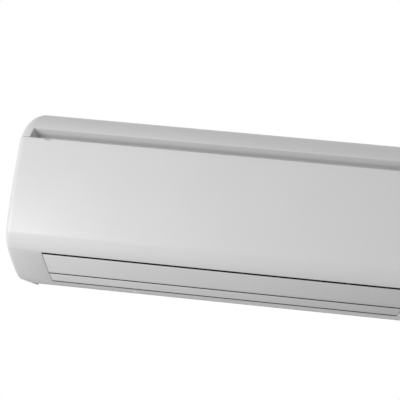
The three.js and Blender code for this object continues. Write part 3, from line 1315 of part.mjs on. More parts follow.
// ---------------------------------------------------------------- electrics
function controlBox() {
  const [w, g] = [BOX_WALL, 1];
  const hollow = block(BOX_LEFT + w, BOX_RIGHT - w, BOX_BACK + w, BOX_FRONT + 1, BOX_LOW + w, BOX_HIGH - w);
  const shell = cut(block(BOX_LEFT, BOX_RIGHT, BOX_BACK, BOX_FRONT, BOX_LOW, BOX_HIGH), hollow);
  const posts = [BOX_LEFT + 8, BOX_RIGHT - 8].flatMap((x) => [BOX_LOW + 58, BOX_HIGH - 10].map((z) =>
    bar(at(x, BOX_BACK + g, z), at(x, BOARD_D - GAP, z), 3, 12)));
  const leadWay = block(
    BOX_LEFT - 1, BOX_LEFT + w + 1, BOX_FRONT - 26, BOX_FRONT - 10, BOX_LOW + 20, BOX_LOW + 40,
  );
  return cut(join(shell, ...posts), leadWay);
}

function circuitBoard() {
  const board = block(
    BOX_LEFT + BOX_WALL + 1, BOX_RIGHT - BOX_WALL - 1, BOARD_D, BOARD_D + BOARD_WALL,
    BOX_LOW + 50, BOX_HIGH - BOX_WALL - 1,
  );
  const top = BOARD_D + BOARD_WALL;
  const part = (x, z, width, height, tall) =>
    block(BOX_LEFT + x, BOX_LEFT + x + width, top - 0.5, top + tall, BOX_LOW + z, BOX_LOW + z + height);
  const can = (x, z, radius, tall) =>
    bar(at(BOX_LEFT + x, top - 0.5, BOX_LOW + z), at(BOX_LEFT + x, top + tall, BOX_LOW + z), radius, 16);
  return join(
    board, part(8, 58, 24, 18, 20), part(38, 60, 22, 26, 14), part(10, 86, 14, 30, 8),
    can(34, 104, 8, 26), can(54, 110, 5, 16), part(30, 122, 28, 12, 7),
  );
}

function terminalBlock() {
  const [x0, z0] = [BOX_LEFT + 10, BOX_LOW + 14];
  const base = BOX_BACK + BOX_WALL + GAP;
  const body = block(x0, x0 + 52, base, base + 16, z0, z0 + 26);
  const bays = Array.from({ length: 4 }, (_, i) =>
    block(x0 + 3 + i * 12.2, x0 + 12 + i * 12.2, base + 8, base + 17, z0 - 1, z0 + 27));
  const heads = Array.from({ length: 4 }, (_, i) => {
    const x = x0 + 7.5 + i * 12.2;
    return bar(at(x, base + 7, z0 + 13), at(x, base + 11, z0 + 13), 3.4, 12);
  });
  return join(cut(body, ...bays), ...heads);
}

function boxCover() {
  const w = BOX_WALL;
  const d = BOX_FRONT + GAP;
  const plate = block(BOX_LEFT - 1, BOX_RIGHT + 1, d, d + 1.6, BOX_LOW - 1, BOX_HIGH + 1);
  const lip = cut(
    block(BOX_LEFT + w + GAP, BOX_RIGHT - w - GAP, d - 6, d + 1, BOX_LOW + w + GAP, BOX_HIGH - w - GAP),
    block(BOX_LEFT + w + 2, BOX_RIGHT - w - 2, d - 7, d, BOX_LOW + w + 2, BOX_HIGH - w - 2),
  );
  const vents = Array.from({ length: 5 }, (_, i) =>
    block(BOX_LEFT + 14, BOX_RIGHT - 14, d - 1, d + 3, BOX_HIGH - 70 + i * 10, BOX_HIGH - 66 + i * 10));
  return cut(join(plate, lip), ...vents);
}

function receiverWindow() {
  return prism(
    band(arc(OUTLET_LOW, OUTLET_HIGH, OUTLET_BULGE, 4, 0.555, 0.845), -CASING_WALL, -0.2),
    RECEIVER_LEFT + GAP, RECEIVER_RIGHT - GAP,
  );
}

function powerButton() {
  const front = -CASING_WALL - BUTTON_SEAT;
  const back = front - BUTTON_FLANGE;
  const rim = BUTTON_RADIUS + BUTTON_FLANGE;
  return turnedAcross([
    [back, 0], [back, rim], [front, rim], [front, BUTTON_RADIUS],
    [1.2, BUTTON_RADIUS], [2, BUTTON_RADIUS - 0.8], [2, 0],
  ], BUTTON_X, [pocketFace, BUTTON_Z]);
}

// The cup behind the panel's pocket that guides the button and stops it when it is pressed.
function buttonSeat() {
  const front = -CASING_WALL / 2;
  const stop = -CASING_WALL - BUTTON_SEAT - BUTTON_FLANGE - BUTTON_TRAVEL - GAP;
  const bore = BUTTON_RADIUS + BUTTON_FLANGE + GAP;
  const wall = 1.6;
  return turnedAcross([
    [stop - wall, BUTTON_RADIUS - 2], [stop - wall, bore + wall], [front, bore + wall], [front, bore],
    [stop, bore], [stop, BUTTON_RADIUS - 2],
  ], BUTTON_X, [pocketFace, BUTTON_Z]);
}

function casingScrew(x) {
  const top = screwSeat - GAP;
  return join(
    bar(at(x, SCREW_D, top - 2.4), at(x, SCREW_D, top), SCREW_HEAD, 16),
    bar(at(x, SCREW_D, top - 1), at(x, SCREW_D, top + 22), SCREW_RADIUS, 12),
  );
}

function roomSensor() {
  const [d, z] = [FILTER_D + 26, BOX_HIGH - 26];
  return join(
    bar(at(BOX_LEFT - GAP, d, z), at(BOX_LEFT - 14, d, z), 3, 12),
    block(BOX_LEFT - GAP - 2, BOX_LEFT - GAP, d - 6, d + 6, z - 6, z + 6),
  );
}

// ---------------------------------------------------------------- the unit
const [leftFilterPlace, rightFilterPlace] = filterPlaces();
const casing = casingBody();
const panel = panelFace();
const unitGroup = new THREE.Group();
unitGroup.add(
  mesh("mounting_plate", mountingPlate(), STEEL, 0.45, 0.8),
  mesh("rear_chassis", rearChassis(), INNER_WHITE, 0.6),
  mesh("pipe_channel", pipeChannel(), INNER_WHITE, 0.6),
  mesh("front_grille", frontGrille(casing), WHITE, 0.45),
  mesh("top_cover", topCover(casing), WHITE, 0.45),
  mesh("recess_back", recessPlate(casing, railTop + GAP, RECESS_CEILING), WHITE, 0.45),
  mesh("hinge_rail", recessPlate(casing, 0, railTop), WHITE, 0.45),
  mesh("panel_cradle_left", cradle(-CRADLE_X), WHITE, 0.45),
  mesh("panel_cradle_right", cradle(CRADLE_X), WHITE, 0.45),
  mesh("side_cover_left", sideCover(casing, -1), WHITE, 0.45),
  mesh("side_cover_right", sideCover(casing, 1), WHITE, 0.45),
  mesh("top_intake_grille", intakeGrille(), WHITE, 0.5),
  mesh("front_panel", frontPanel(panel), WHITE, 0.35),
  mesh("panel_trim", panelTrim(panel), WHITE, 0.35),
  mesh("panel_end_left", panelEndCap(panel, -1), WHITE, 0.35),
  mesh("panel_end_right", panelEndCap(panel, 1), WHITE, 0.35),
  mesh("filter_left", filter(leftFilterPlace), 0x9fb4c4, 0.7),
  mesh("filter_right", filter(rightFilterPlace), 0x9fb4c4, 0.7),
  mesh("evaporator_front", frontEvaporator(), ALUMINIUM, 0.4, 0.8),
  mesh("evaporator_rear", rearEvaporator(), ALUMINIUM, 0.4, 0.8),
  mesh("fan_rotor", fanRotor(), DARK, 0.6),
  mesh("fan_shaft", fanShaft(), STEEL, 0.3, 0.9),
  mesh("fan_bush", fanBush(), RUBBER, 0.9),
  mesh("fan_bearing", fanBearing(), BRASS, 0.4, 0.8),
  mesh("fan_motor", fanMotor(), STEEL, 0.4, 0.8),
  mesh("motor_clamp", motorClamp(), STEEL, 0.4, 0.8),
  mesh("drain_pan", drainPan(), INNER_WHITE, 0.7),
  mesh("upper_flap", upperFlap(), WHITE, 0.4),
  mesh("lower_flap", lowerFlap(), WHITE, 0.4),
  mesh("upper_flap_crank", flapCrank(UPPER_PIVOT), DARK, 0.5),
  mesh("lower_flap_crank", flapCrank(LOWER_PIVOT), DARK, 0.5),
  mesh("flap_link", flapLink(), DARK, 0.5),
  mesh("flap_motor", flapMotor(), STEEL, 0.4, 0.8),
  mesh("vane_rod_left", vaneRod(vaneGroups.left), DARK, 0.5),
  mesh("vane_rod_right", vaneRod(vaneGroups.right), DARK, 0.5),
  mesh("gas_pipe", gasPipe(), COPPER, 0.35, 0.9),
  mesh("liquid_pipe", liquidPipe(), COPPER, 0.35, 0.9),
  mesh("gas_flare_nut", flareNut(GAS_END, GAS_RUN, GAS_RADIUS), BRASS, 0.35, 0.9),
  mesh("liquid_flare_nut", flareNut(LIQUID_END, LIQUID_RUN, LIQUID_RADIUS), BRASS, 0.35, 0.9),
  mesh("drain_spigot", drainSpigot(), INNER_WHITE, 0.6),
  mesh("drain_plug", drainPlug(), RUBBER, 0.9),
  mesh("control_box", controlBox(), INNER_WHITE, 0.6),
  mesh("control_box_cover", boxCover(), STEEL, 0.45, 0.8),
  mesh("circuit_board", circuitBoard(), GREEN, 0.6),
  mesh("terminal_block", terminalBlock(), DARK, 0.6),
  mesh("receiver_window", receiverWindow(), 0x5c5f63, 0.2),
  mesh("power_button", powerButton(), WHITE, 0.5),
  mesh("room_sensor", roomSensor(), DARK, 0.6),
);
for (const side of ["left", "right"])
  vaneGroups[side].forEach((x, i) => unitGroup.add(mesh(`vane_${side}_${i + 1}`, vane(x), WHITE, 0.5)));
SCREW_X.forEach((x, i) => unitGroup.add(mesh(`casing_screw_${i + 1}`, casingScrew(x), STEEL, 0.4, 0.9)));
unitGroup.position.z = -PLATE_MIDDLE;

export default unitGroup;
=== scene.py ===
"""Looks of the wall-mounted indoor unit of a split air conditioner.

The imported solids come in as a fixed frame. The pieces that show are modelled anew and stand for
their solids, and every other solid is dressed. Sizes are in millimetres in the unit's side view,
where d is the distance in front of the wall and z the height above the unit's lowest edge. A piece
is in metres, in the frame of the solids.
"""

import json
import logging
import math
from dataclasses import dataclass
from enum import Enum
from typing import Optional, Sequence

import bmesh
import bpy
from mathutils import Matrix, Vector, kdtree


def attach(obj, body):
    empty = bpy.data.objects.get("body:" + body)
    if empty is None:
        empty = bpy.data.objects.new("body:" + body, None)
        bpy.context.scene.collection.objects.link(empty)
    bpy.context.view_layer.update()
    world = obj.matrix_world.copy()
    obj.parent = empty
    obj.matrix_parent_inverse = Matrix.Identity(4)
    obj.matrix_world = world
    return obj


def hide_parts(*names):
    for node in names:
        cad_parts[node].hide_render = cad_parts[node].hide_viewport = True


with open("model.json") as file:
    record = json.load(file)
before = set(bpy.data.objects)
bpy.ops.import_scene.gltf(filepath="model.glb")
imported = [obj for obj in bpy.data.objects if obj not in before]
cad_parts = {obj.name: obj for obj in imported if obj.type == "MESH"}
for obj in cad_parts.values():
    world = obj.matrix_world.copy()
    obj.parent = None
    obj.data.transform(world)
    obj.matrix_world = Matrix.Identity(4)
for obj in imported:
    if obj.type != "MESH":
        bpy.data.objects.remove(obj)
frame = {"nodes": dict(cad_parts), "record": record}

LOG = logging.getLogger("indoor_unit")
Point = tuple[float, float]
Line = list[Point]
Colour = tuple[float, float, float]

MM = 0.001
PLATE_MIDDLE = 170.0
BEYOND = 40.0  # how far a cutter stands out of the casing
OVERCUT = 12.0  # how far a cutter runs past what it cuts inside
BELOW, ABOVE = -20.0, 320.0  # heights clear of the unit


# ---------------------------------------------------------------- the side view
def place(x: float, d: float, z: float) -> Vector:
    """The point of the frame for a place on the unit.

    Args:
        x: Distance along the unit from its middle, to the right from the front.
        d: Distance in front of the wall.
        z: Height above the unit's lowest edge.

    Returns:
        The point, in metres.
    """
    return Vector((x, -d, z - PLATE_MIDDLE)) * MM


def unit(d: float, z: float) -> Point:
    """The direction (d, z) at length one."""
    length = math.hypot(d, z) or 1.0
    return d / length, z / length


def arc(a: Point, b: Point, bulge: float, steps: int, start: float = 0.0, end: float = 1.0) -> Line:
    """Points on the arc from a to b that stands proud of the straight line, to its right.

    Args:
        a: First point of the whole arc.
        b: Last point of the whole arc.
        bulge: How far the arc's middle stands out of the straight line.
        steps: Number of straight steps.
        start: Share of the arc where the points begin.
        end: Share of the arc where the points end.

    Returns:
        One point more than there are steps.
    """
    chord = math.hypot(b[0] - a[0], b[1] - a[1])
    radius = chord * chord / (8 * bulge) + bulge / 2
    half = math.asin(chord / 2 / radius)
    ud, uz = (b[0] - a[0]) / chord, (b[1] - a[1]) / chord
    points = []
    for i in range(steps + 1):
        angle = half * (2 * (start + (end - start) * i / steps) - 1)
        along = chord / 2 + radius * math.sin(angle)
        out = radius * (math.cos(angle) - math.cos(half))
        points.append((a[0] + ud * along + uz * out, a[1] + uz * along - ud * out))
    return points


def circle(centre: Point, radius: float, start: float, end: float, steps: int) -> Line:
    """Points on an arc of a circle in the side view.

    Args:
        centre: The circle's centre.
        radius: Its radius.
        start: Where the arc begins, in degrees from the front and over the top.
        end: Where the arc ends.
        steps: Number of straight steps.

    Returns:
        One point more than there are steps.
    """
    turns = [math.radians(start + (end - start) * i / steps) for i in range(steps + 1)]
    return [(centre[0] + radius * math.cos(t), centre[1] + radius * math.sin(t)) for t in turns]


def direction(line: Line, i: int) -> Point:
    """Direction of the line at its point i."""
    before, after = line[max(i - 1, 0)], line[min(i + 1, len(line) - 1)]
    return unit(after[0] - before[0], after[1] - before[1])


def offset(line: Line, out: float) -> Line:
    """The line moved to its right by `out`, which is outwards on the casing."""
    moved = []
    for i, (d, z) in enumerate(line):
        before, after = line[max(i - 1, 0)], line[min(i + 1, len(line) - 1)]
        first, second = unit(d - before[0], z - before[1]), unit(after[0] - d, after[1] - z)
        ud, uz = unit(first[0] + second[0], first[1] + second[1])
        moved.append((d + uz * out, z - ud * out))
    return moved


def extended(line: Line, extra: float) -> Line:
    """The line with both ends run on by `extra`."""
    ad, az = unit(line[0][0] - line[1][0], line[0][1] - line[1][1])
    bd, bz = unit(line[-1][0] - line[-2][0], line[-1][1] - line[-2][1])
    first = (line[0][0] + ad * extra, line[0][1] + az * extra)
    last = (line[-1][0] + bd * extra, line[-1][1] + bz * extra)
    return [first, *line[1:-1], last]


def band(line: Line, inner: float, outer: float) -> Line:
    """The closed outline between two lines beside the given one.

    Args:
        line: The line in the side view.
        inner: Where the inner line runs, outwards from the given one.
        outer: Where the outer line runs, outwards from the given one.

    Returns:
        The outline's points in order.
    """
    return offset(line, outer) + offset(line, inner)[::-1]


@dataclass(frozen=True)
class SideView:
    """Outer form of the casing, and the places that its pieces share."""

    width: float = 800.0
    height: float = 295.0
    depth: float = 215.0
    end_round: float = 9.0
    top_round: float = 28.0
    end_steps: int = 8
    behind: float = -12.0
    lip: Point = (105.5, 12.0)
    outlet_low: Point = (114.5, 14.5)
    outlet_high: Point = (195.5, 62.0)
    outlet_bulge: float = 2.5
    crease: Point = (214.6, 92.0)
    panel_top: Point = (192.5, 246.0)
    nose_low: Point = (191.4, 248.2)
    nose_high: Point = (118.0, 295.0)
    outlet_left: float = -342.0
    outlet_right: float = 248.0
    outlet_taper: float = 4.8
    wall: float = 2.5
    panel_wall: float = 2.8
    pocket: float = 7.0
    panel_gap: float = 0.8
    bead: float = 3.0
    lip_bulge: float = 0.2
    lip_steps: int = 3
    trim_bulge: float = 3.3
    trim_steps: int = 10
    face_bulge: float = 5.0
    face_steps: int = 16
    nose_bulge: float = 12.7
    nose_steps: int = 18

    def outlet(self, steps: int = 14, start: float = 0.0, end: float = 1.0) -> Line:
        """The line across the air outlet, from below."""
        return arc(self.outlet_low, self.outlet_high, self.outlet_bulge, steps, start, end)

    def outlet_length(self) -> float:
        """Straight length across the air outlet."""
        return math.dist(self.outlet_low, self.outlet_high)

    def panel(self) -> Line:
        """The front panel's face, from the outlet up."""
        trim = arc(self.outlet_high, self.crease, self.trim_bulge, self.trim_steps)
        return trim + arc(self.crease, self.panel_top, self.face_bulge, self.face_steps)[1:]

    def casing(self) -> Line:
        """The whole outline, from the underside at the wall to the top at the wall."""
        slope = self.lip[1] / self.lip[0]
        return [
            (self.behind, self.behind * slope),
            *arc(self.lip, self.outlet_low, self.lip_bulge, self.lip_steps)[:-1],
            *self.outlet()[:-1],
            *self.panel(),
            *arc(self.nose_low, self.nose_high, self.nose_bulge, self.nose_steps),
            (self.behind, self.height),
        ]

    def rings(self, inset: float) -> list[list[Vector]]:
        """The casing's full form, drawn in by `inset`, with its edges rounded into the ends."""
        line = self.casing()
        edges = []
        for i in range(len(line)):
            up = max(0.0, -direction(line, i)[0])
            edges.append(self.end_round + (self.top_round - self.end_round) * up * up - inset)
        rings = []
        for side in (-1, 1):
            for step in range(self.end_steps + 1):
                share = step if side < 0 else self.end_steps - step
                turn = share / self.end_steps * math.pi / 2
                ring = []
                for i, edge in enumerate(edges):
                    d, z = offset(line[max(i - 1, 0):i + 2], -inset - edge * (1 - math.sin(turn)))[min(i, 1)]
                    ring.append(place(side * (self.width / 2 - inset - edge * (1 - math.cos(turn))), d, z))
                rings.append(ring)
        return rings

    def hinge(self) -> Point:
        """Centre of the bead along the panel's top edge."""
        line = self.panel()
        ud, uz = direction(line, len(line) - 1)
        return self.panel_top[0] - self.bead * (ud + uz), self.panel_top[1] - self.bead * (uz - ud)


VIEW = SideView()


# ---------------------------------------------------------------- modelling
class Cut(Enum):
    """What a tool does to the piece that it is set against."""

    AWAY = "DIFFERENCE"
    ADD = "UNION"
    KEEP = "INTERSECT"


def deselect() -> None:
    """Leaves object mode with nothing selected."""
    if bpy.context.object and bpy.context.object.mode != "OBJECT":
        bpy.ops.object.mode_set(mode="OBJECT")
    bpy.ops.object.select_all(action="DESELECT")


def take(piece: bpy.types.Object) -> None:
    """Makes the piece the only selected and the active one."""
    deselect()
    piece.select_set(True)
    bpy.context.view_layer.objects.active = piece


def settle(piece: bpy.types.Object) -> bpy.types.Object:
    """Puts the piece's place into its mesh, with its object at the origin."""
    take(piece)
    bpy.ops.object.transform_apply(location=True, rotation=True, scale=True)
    return piece


def loft(name: str, rings: Sequence[Sequence[Vector]]) -> bpy.types.Object:
    """A closed body extruded through rings of equally many points.

    Args:
        name: Name of the piece.
        rings: The outlines, in order, in metres.

    Returns:
        The piece, with its faces outwards.
    """
    deselect()
    bpy.ops.mesh.primitive_circle_add(vertices=len(rings[0]), radius=1, fill_type="NGON")
    piece = bpy.context.object
    piece.name = name
    for vertex, point in zip(piece.data.vertices, rings[0]):
        vertex.co = point
    bpy.ops.object.mode_set(mode="EDIT")
    bpy.ops.mesh.select_mode(type="FACE")
    bpy.ops.mesh.select_all(action="SELECT")
    for before, after in zip(rings, rings[1:]):
        bpy.ops.mesh.extrude_region_move(TRANSFORM_OT_translate={"value": (0, 0, 0)})
        nearest = kdtree.KDTree(len(before))
        for i, point in enumerate(before):
            nearest.insert(point, i)
        nearest.balance()
        shape = bmesh.from_edit_mesh(piece.data)
        for vertex in shape.verts:
            if vertex.select:
                vertex.co = after[nearest.find(vertex.co)[1]]
        bmesh.update_edit_mesh(piece.data)
    bpy.ops.mesh.select_all(action="SELECT")
    bpy.ops.mesh.normals_make_consistent(inside=False)
    bpy.ops.object.mode_set(mode="OBJECT")
    return piece


def prism(name: str, outline: Line, x0: float, x1: float) -> bpy.types.Object:
    """A side-view outline run along the unit.

    Args:
        name: Name of the piece.
        outline: The closed outline.
        x0: Where the piece begins along the unit.
        x1: Where it ends.

    Returns:
        The piece.
    """
    return loft(name, [[place(x, d, z) for d, z in outline] for x in (x0, x1)])


def across(name: str, outline: Line, short: float = 0.0) -> bpy.types.Object:
    """A side-view outline run across the outlet, whose ends lean inwards.

    Args:
        name: Name of the piece.
        outline: The closed outline.
        short: How far it stays from both ends of the outlet.

    Returns:
        The piece.
    """
    top, low = VIEW.outlet_high[1], VIEW.outlet_low[1]
    lean = [short + VIEW.outlet_taper * (top - z) / (top - low) for _, z in outline]
    left = [place(VIEW.outlet_left + inset, d, z) for inset, (d, z) in zip(lean, outline)]
    right = [place(VIEW.outlet_right - inset, d, z) for inset, (d, z) in zip(lean, outline)]
    return loft(name, [left, right])


def block(name: str, x: Point, d: Point, z: Point) -> bpy.types.Object:
    """A box between two values along each direction."""
    deselect()
    low, high = place(x[0], d[1], z[0]), place(x[1], d[0], z[1])
    bpy.ops.mesh.primitive_cube_add(size=1, location=(low + high) / 2, scale=high - low)
    bpy.context.object.name = name
    return settle(bpy.context.object)


def rod(name: str, a: Vector, b: Vector, radius: float, sides: int = 24) -> bpy.types.Object:
    """A round bar between two points.

    Args:
        name: Name of the piece.
        a: One end, in metres.
        b: The other end, in metres.
        radius: Its radius in millimetres.
        sides: Number of flat sides.

    Returns:
        The piece.
    """
    deselect()
    along = b - a
    bpy.ops.mesh.primitive_cylinder_add(
        vertices=sides, radius=radius * MM, depth=along.length,
        location=(a + b) / 2, rotation=along.to_track_quat("Z", "Y").to_euler(),
    )
    bpy.context.object.name = name
    return settle(bpy.context.object)


def rod_along(name: str, x: Point, centre: Point, radius: float, sides: int = 24) -> bpy.types.Object:
    """A round bar along the unit at a place in the side view."""
    return rod(name, place(x[0], *centre), place(x[1], *centre), radius, sides)


def combine(piece: bpy.types.Object, way: Cut, *tools: bpy.types.Object) -> bpy.types.Object:
    """Sets tools against a piece one after the other, and uses them up.

    Args:
        piece: The piece that changes.
        way: What the tools do to it.
        *tools: The tools, which are removed.

    Returns:
        The same piece.
    """
    for tool in tools:
        take(piece)
        modifier = piece.modifiers.new("tool", "BOOLEAN")
        modifier.object, modifier.operation, modifier.solver = tool, way.value, "MANIFOLD"
        bpy.ops.object.modifier_apply(modifier=modifier.name)
        bpy.data.objects.remove(tool)
    return piece


def soften(piece: bpy.types.Object, width: float, segments: int = 2, angle: float = 32.0) -> None:
    """Rounds the sharp edges of a piece and shades the rest smooth.

    Args:
        piece: The piece.
        width: Width of the rounded edge in millimetres, or zero for none.
        segments: Number of faces across a rounded edge.
        angle: Least angle in degrees of an edge that counts as sharp.
    """
    take(piece)
    bpy.ops.object.mode_set(mode="EDIT")
    bpy.ops.mesh.select_all(action="SELECT")
    bpy.ops.mesh.remove_doubles(threshold=2e-5)
    bpy.ops.mesh.dissolve_limited(angle_limit=math.radians(0.4))
    bpy.ops.object.mode_set(mode="OBJECT")
    if width:
        modifier = piece.modifiers.new("edges", "BEVEL")
        modifier.width, modifier.segments = width * MM, segments
        modifier.limit_method, modifier.angle_limit = "ANGLE", math.radians(angle)
        modifier.miter_outer = "MITER_ARC"
        bpy.ops.object.modifier_apply(modifier=modifier.name)
    bpy.ops.object.shade_smooth_by_angle(angle=math.radians(angle))


def fit(
    piece: bpy.types.Object, body: str, finish: bpy.types.Material, slot: str, *nodes: str
) -> bpy.types.Object:
    """Dresses a finished piece and sets it on its body in place of its solids.

    Args:
        piece: The modelled piece.
        body: The body that it moves with.
        finish: Its material.
        slot: The record's material slot; not used.
        *nodes: The solids that it stands for.

    Returns:
        The same piece.
    """
    piece.data.materials.clear()
    piece.data.materials.append(finish)
    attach(piece, body)
    if nodes:
        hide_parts(*nodes)
    LOG.info("%s: %d faces on %s", piece.name, len(piece.data.polygons), body)
    return piece


# ---------------------------------------------------------------- finishes
class NodePad:
    """The node tree of one material, with short calls for its nodes and links."""

    def __init__(self, name: str) -> None:
        """Starts a material of that name with its shader."""
        self.material = bpy.data.materials.new(name)
        self.material.use_nodes = True
        self.tree = self.material.node_tree
        self.shader = self.tree.nodes["Principled BSDF"]
        self.position = self.node("ShaderNodeTexCoord").outputs["Object"]

    def node(self, kind: str, **settings: object) -> bpy.types.Node:
        """Adds a node and sets its properties."""
        made = self.tree.nodes.new(kind)
        for key, value in settings.items():
            setattr(made, key, value)
        return made

    def link(self, source: bpy.types.NodeSocket, node: bpy.types.Node, socket: str) -> None:
        """Links an output to a node's named input."""
        self.tree.links.new(source, node.inputs[socket])

    def stretched(self, scale: Colour) -> bpy.types.NodeSocket:
        """Object position scaled along each direction, for marks that run one way."""
        mapping = self.node("ShaderNodeMapping")
        mapping.inputs["Scale"].default_value = scale
        self.link(self.position, mapping, "Vector")
        return mapping.outputs["Vector"]

    def noise(
        self, size: float, detail: float = 2.0, where: Optional[bpy.types.NodeSocket] = None
    ) -> bpy.types.NodeSocket:
        """Noise whose patches are about `size` millimetres across."""
        texture = self.node("ShaderNodeTexNoise")
        texture.inputs["Scale"].default_value = 1000 / size
        texture.inputs["Detail"].default_value = detail
        self.link(where or self.position, texture, "Vector")
        return texture.outputs["Fac"]

    def cells(self, size: float) -> bpy.types.NodeSocket:
        """Cells about `size` millimetres across, each of its own value."""
        texture = self.node("ShaderNodeTexVoronoi")
        texture.inputs["Scale"].default_value = 1000 / size
        self.link(self.position, texture, "Vector")
        return texture.outputs["Color"]

    def spread(self, source: bpy.types.NodeSocket, low: float, high: float) -> bpy.types.NodeSocket:
        """The source's middle range mapped to low and high."""
        ranged = self.node("ShaderNodeMapRange")
        ranged.inputs["From Min"].default_value = 0.3
        ranged.inputs["From Max"].default_value = 0.7
        ranged.inputs["To Min"].default_value = low
        ranged.inputs["To Max"].default_value = high
        self.link(source, ranged, "Value")
        return ranged.outputs["Result"]

    def tint(self, source: bpy.types.NodeSocket, low: Colour, high: Colour) -> None:
        """Base colour that runs from low to high with the source."""
        ramp = self.node("ShaderNodeValToRGB")
        ramp.color_ramp.elements[0].position, ramp.color_ramp.elements[1].position = 0.3, 0.7
        ramp.color_ramp.elements[0].color = (*low, 1)
        ramp.color_ramp.elements[1].color = (*high, 1)
        self.link(source, ramp, "Fac")
        self.link(ramp.outputs["Color"], self.shader, "Base Color")

    def roughness(self, source: bpy.types.NodeSocket, low: float, high: float) -> None:
        """Roughness that runs from low to high with the source."""
        self.link(self.spread(source, low, high), self.shader, "Roughness")

    def relief(self, source: bpy.types.NodeSocket, height: float, strength: float = 1.0) -> None:
        """Bump of `height` millimetres."""
        bump = self.node("ShaderNodeBump")
        bump.inputs["Strength"].default_value = strength
        bump.inputs["Distance"].default_value = height * MM
        self.link(source, bump, "Height")
        if self.shader.inputs["Normal"].links:
            self.link(self.shader.inputs["Normal"].links[0].from_socket, bump, "Normal")
        self.link(bump.outputs["Normal"], self.shader, "Normal")


def shade(colour: Colour, share: float) -> Colour:
    """The colour made lighter or darker."""
    return colour[0] * share, colour[1] * share, colour[2] * share


@dataclass(frozen=True)
class MouldedPlastic:
    """Injection-moulded plastic with a fine spark-eroded grain."""

    name: str
    colour: Colour
    roughness: float
    grain: float = 0.5
    depth: float = 0.02
    mottle: float = 0.02

    def make(self) -> bpy.types.Material:
        """Builds the material."""
        pad = NodePad(self.name)
        cloud = pad.noise(120.0, 3.0)
        pad.tint(cloud, shade(self.colour, 1 - self.mottle), self.colour)
        pad.roughness(pad.noise(14.0, 4.0), self.roughness - 0.04, self.roughness + 0.05)
        pad.relief(pad.noise(self.grain, 2.0), self.depth, 0.35)
        return pad.material


@dataclass(frozen=True)
class ZincSheet:
    """Zinc-coated steel with a soft spangle."""

    name: str
    colour: Colour
    spangle: float = 9.0

    def make(self) -> bpy.types.Material:
        """Builds the material."""
        pad = NodePad(self.name)
        pad.shader.inputs["Metallic"].default_value = 1.0
        cells = pad.cells(self.spangle)
        pad.tint(cells, shade(self.colour, 0.86), self.colour)
        pad.roughness(cells, 0.34, 0.48)
        pad.relief(pad.noise(3.0, 3.0), 0.015, 0.5)
        return pad.material


@dataclass(frozen=True)
class DrawnMetal:
    """Drawn or turned metal with fine marks along one direction and a little tarnish."""

    name: str
    colour: Colour
    roughness: float
    marks: Colour = (0.04, 1.0, 1.0)
    tarnish: float = 0.25

    def make(self) -> bpy.types.Material:
        """Builds the material."""
        pad = NodePad(self.name)
        pad.shader.inputs["Metallic"].default_value = 1.0
        pad.tint(pad.noise(26.0, 5.0), shade(self.colour, 1 - self.tarnish), self.colour)
        marks = pad.noise(0.5, 2.0, pad.stretched(self.marks))
        pad.roughness(marks, self.roughness - 0.06, self.roughness + 0.08)
        pad.relief(marks, 0.008, 0.5)
        return pad.material


@dataclass(frozen=True)
class FilterNet:
    """Woven plastic net, drawn at its real pitch on a thin sheet."""

    name: str
    colour: Colour
    pitch: float = 1.6

    def make(self) -> bpy.types.Material:
        """Builds the material."""
        pad = NodePad(self.name)
        waves = []
        for axis in ("X", "Z"):
            wave = pad.node("ShaderNodeTexWave", wave_type="BANDS", bands_direction=axis)
            wave.inputs["Scale"].default_value = 1000 / self.pitch / 20 * math.pi
            pad.link(pad.position, wave, "Vector")
            waves.append(wave.outputs["Fac"])
        threads = pad.node("ShaderNodeMath", operation="MAXIMUM")
        for i, wave in enumerate(waves):
            pad.tree.links.new(wave, threads.inputs[i])
        woven = threads.outputs["Value"]
        pad.tint(woven, shade(self.colour, 0.25), self.colour)
        pad.roughness(pad.noise(9.0), 0.55, 0.7)
        pad.relief(woven, 0.3, 0.6)
        return pad.material


@dataclass(frozen=True)
class CircuitLaminate:
    """Green solder resist with the faint lines of its tracks."""

    name: str
    colour: Colour

    def make(self) -> bpy.types.Material:
        """Builds the material."""
        pad = NodePad(self.name)
        bricks = pad.node("ShaderNodeTexBrick")
        bricks.inputs["Scale"].default_value = 60.0
        bricks.inputs["Color1"].default_value = (*self.colour, 1)
        bricks.inputs["Color2"].default_value = (*shade(self.colour, 1.5), 1)
        bricks.inputs["Mortar"].default_value = (*shade(self.colour, 0.5), 1)
        pad.link(pad.stretched((1.0, 1.0, 1.6)), bricks, "Vector")
        pad.link(bricks.outputs["Color"], pad.shader, "Base Color")
        pad.roughness(pad.noise(4.0), 0.3, 0.45)
        pad.relief(bricks.outputs["Fac"], 0.05, 0.5)
        return pad.material


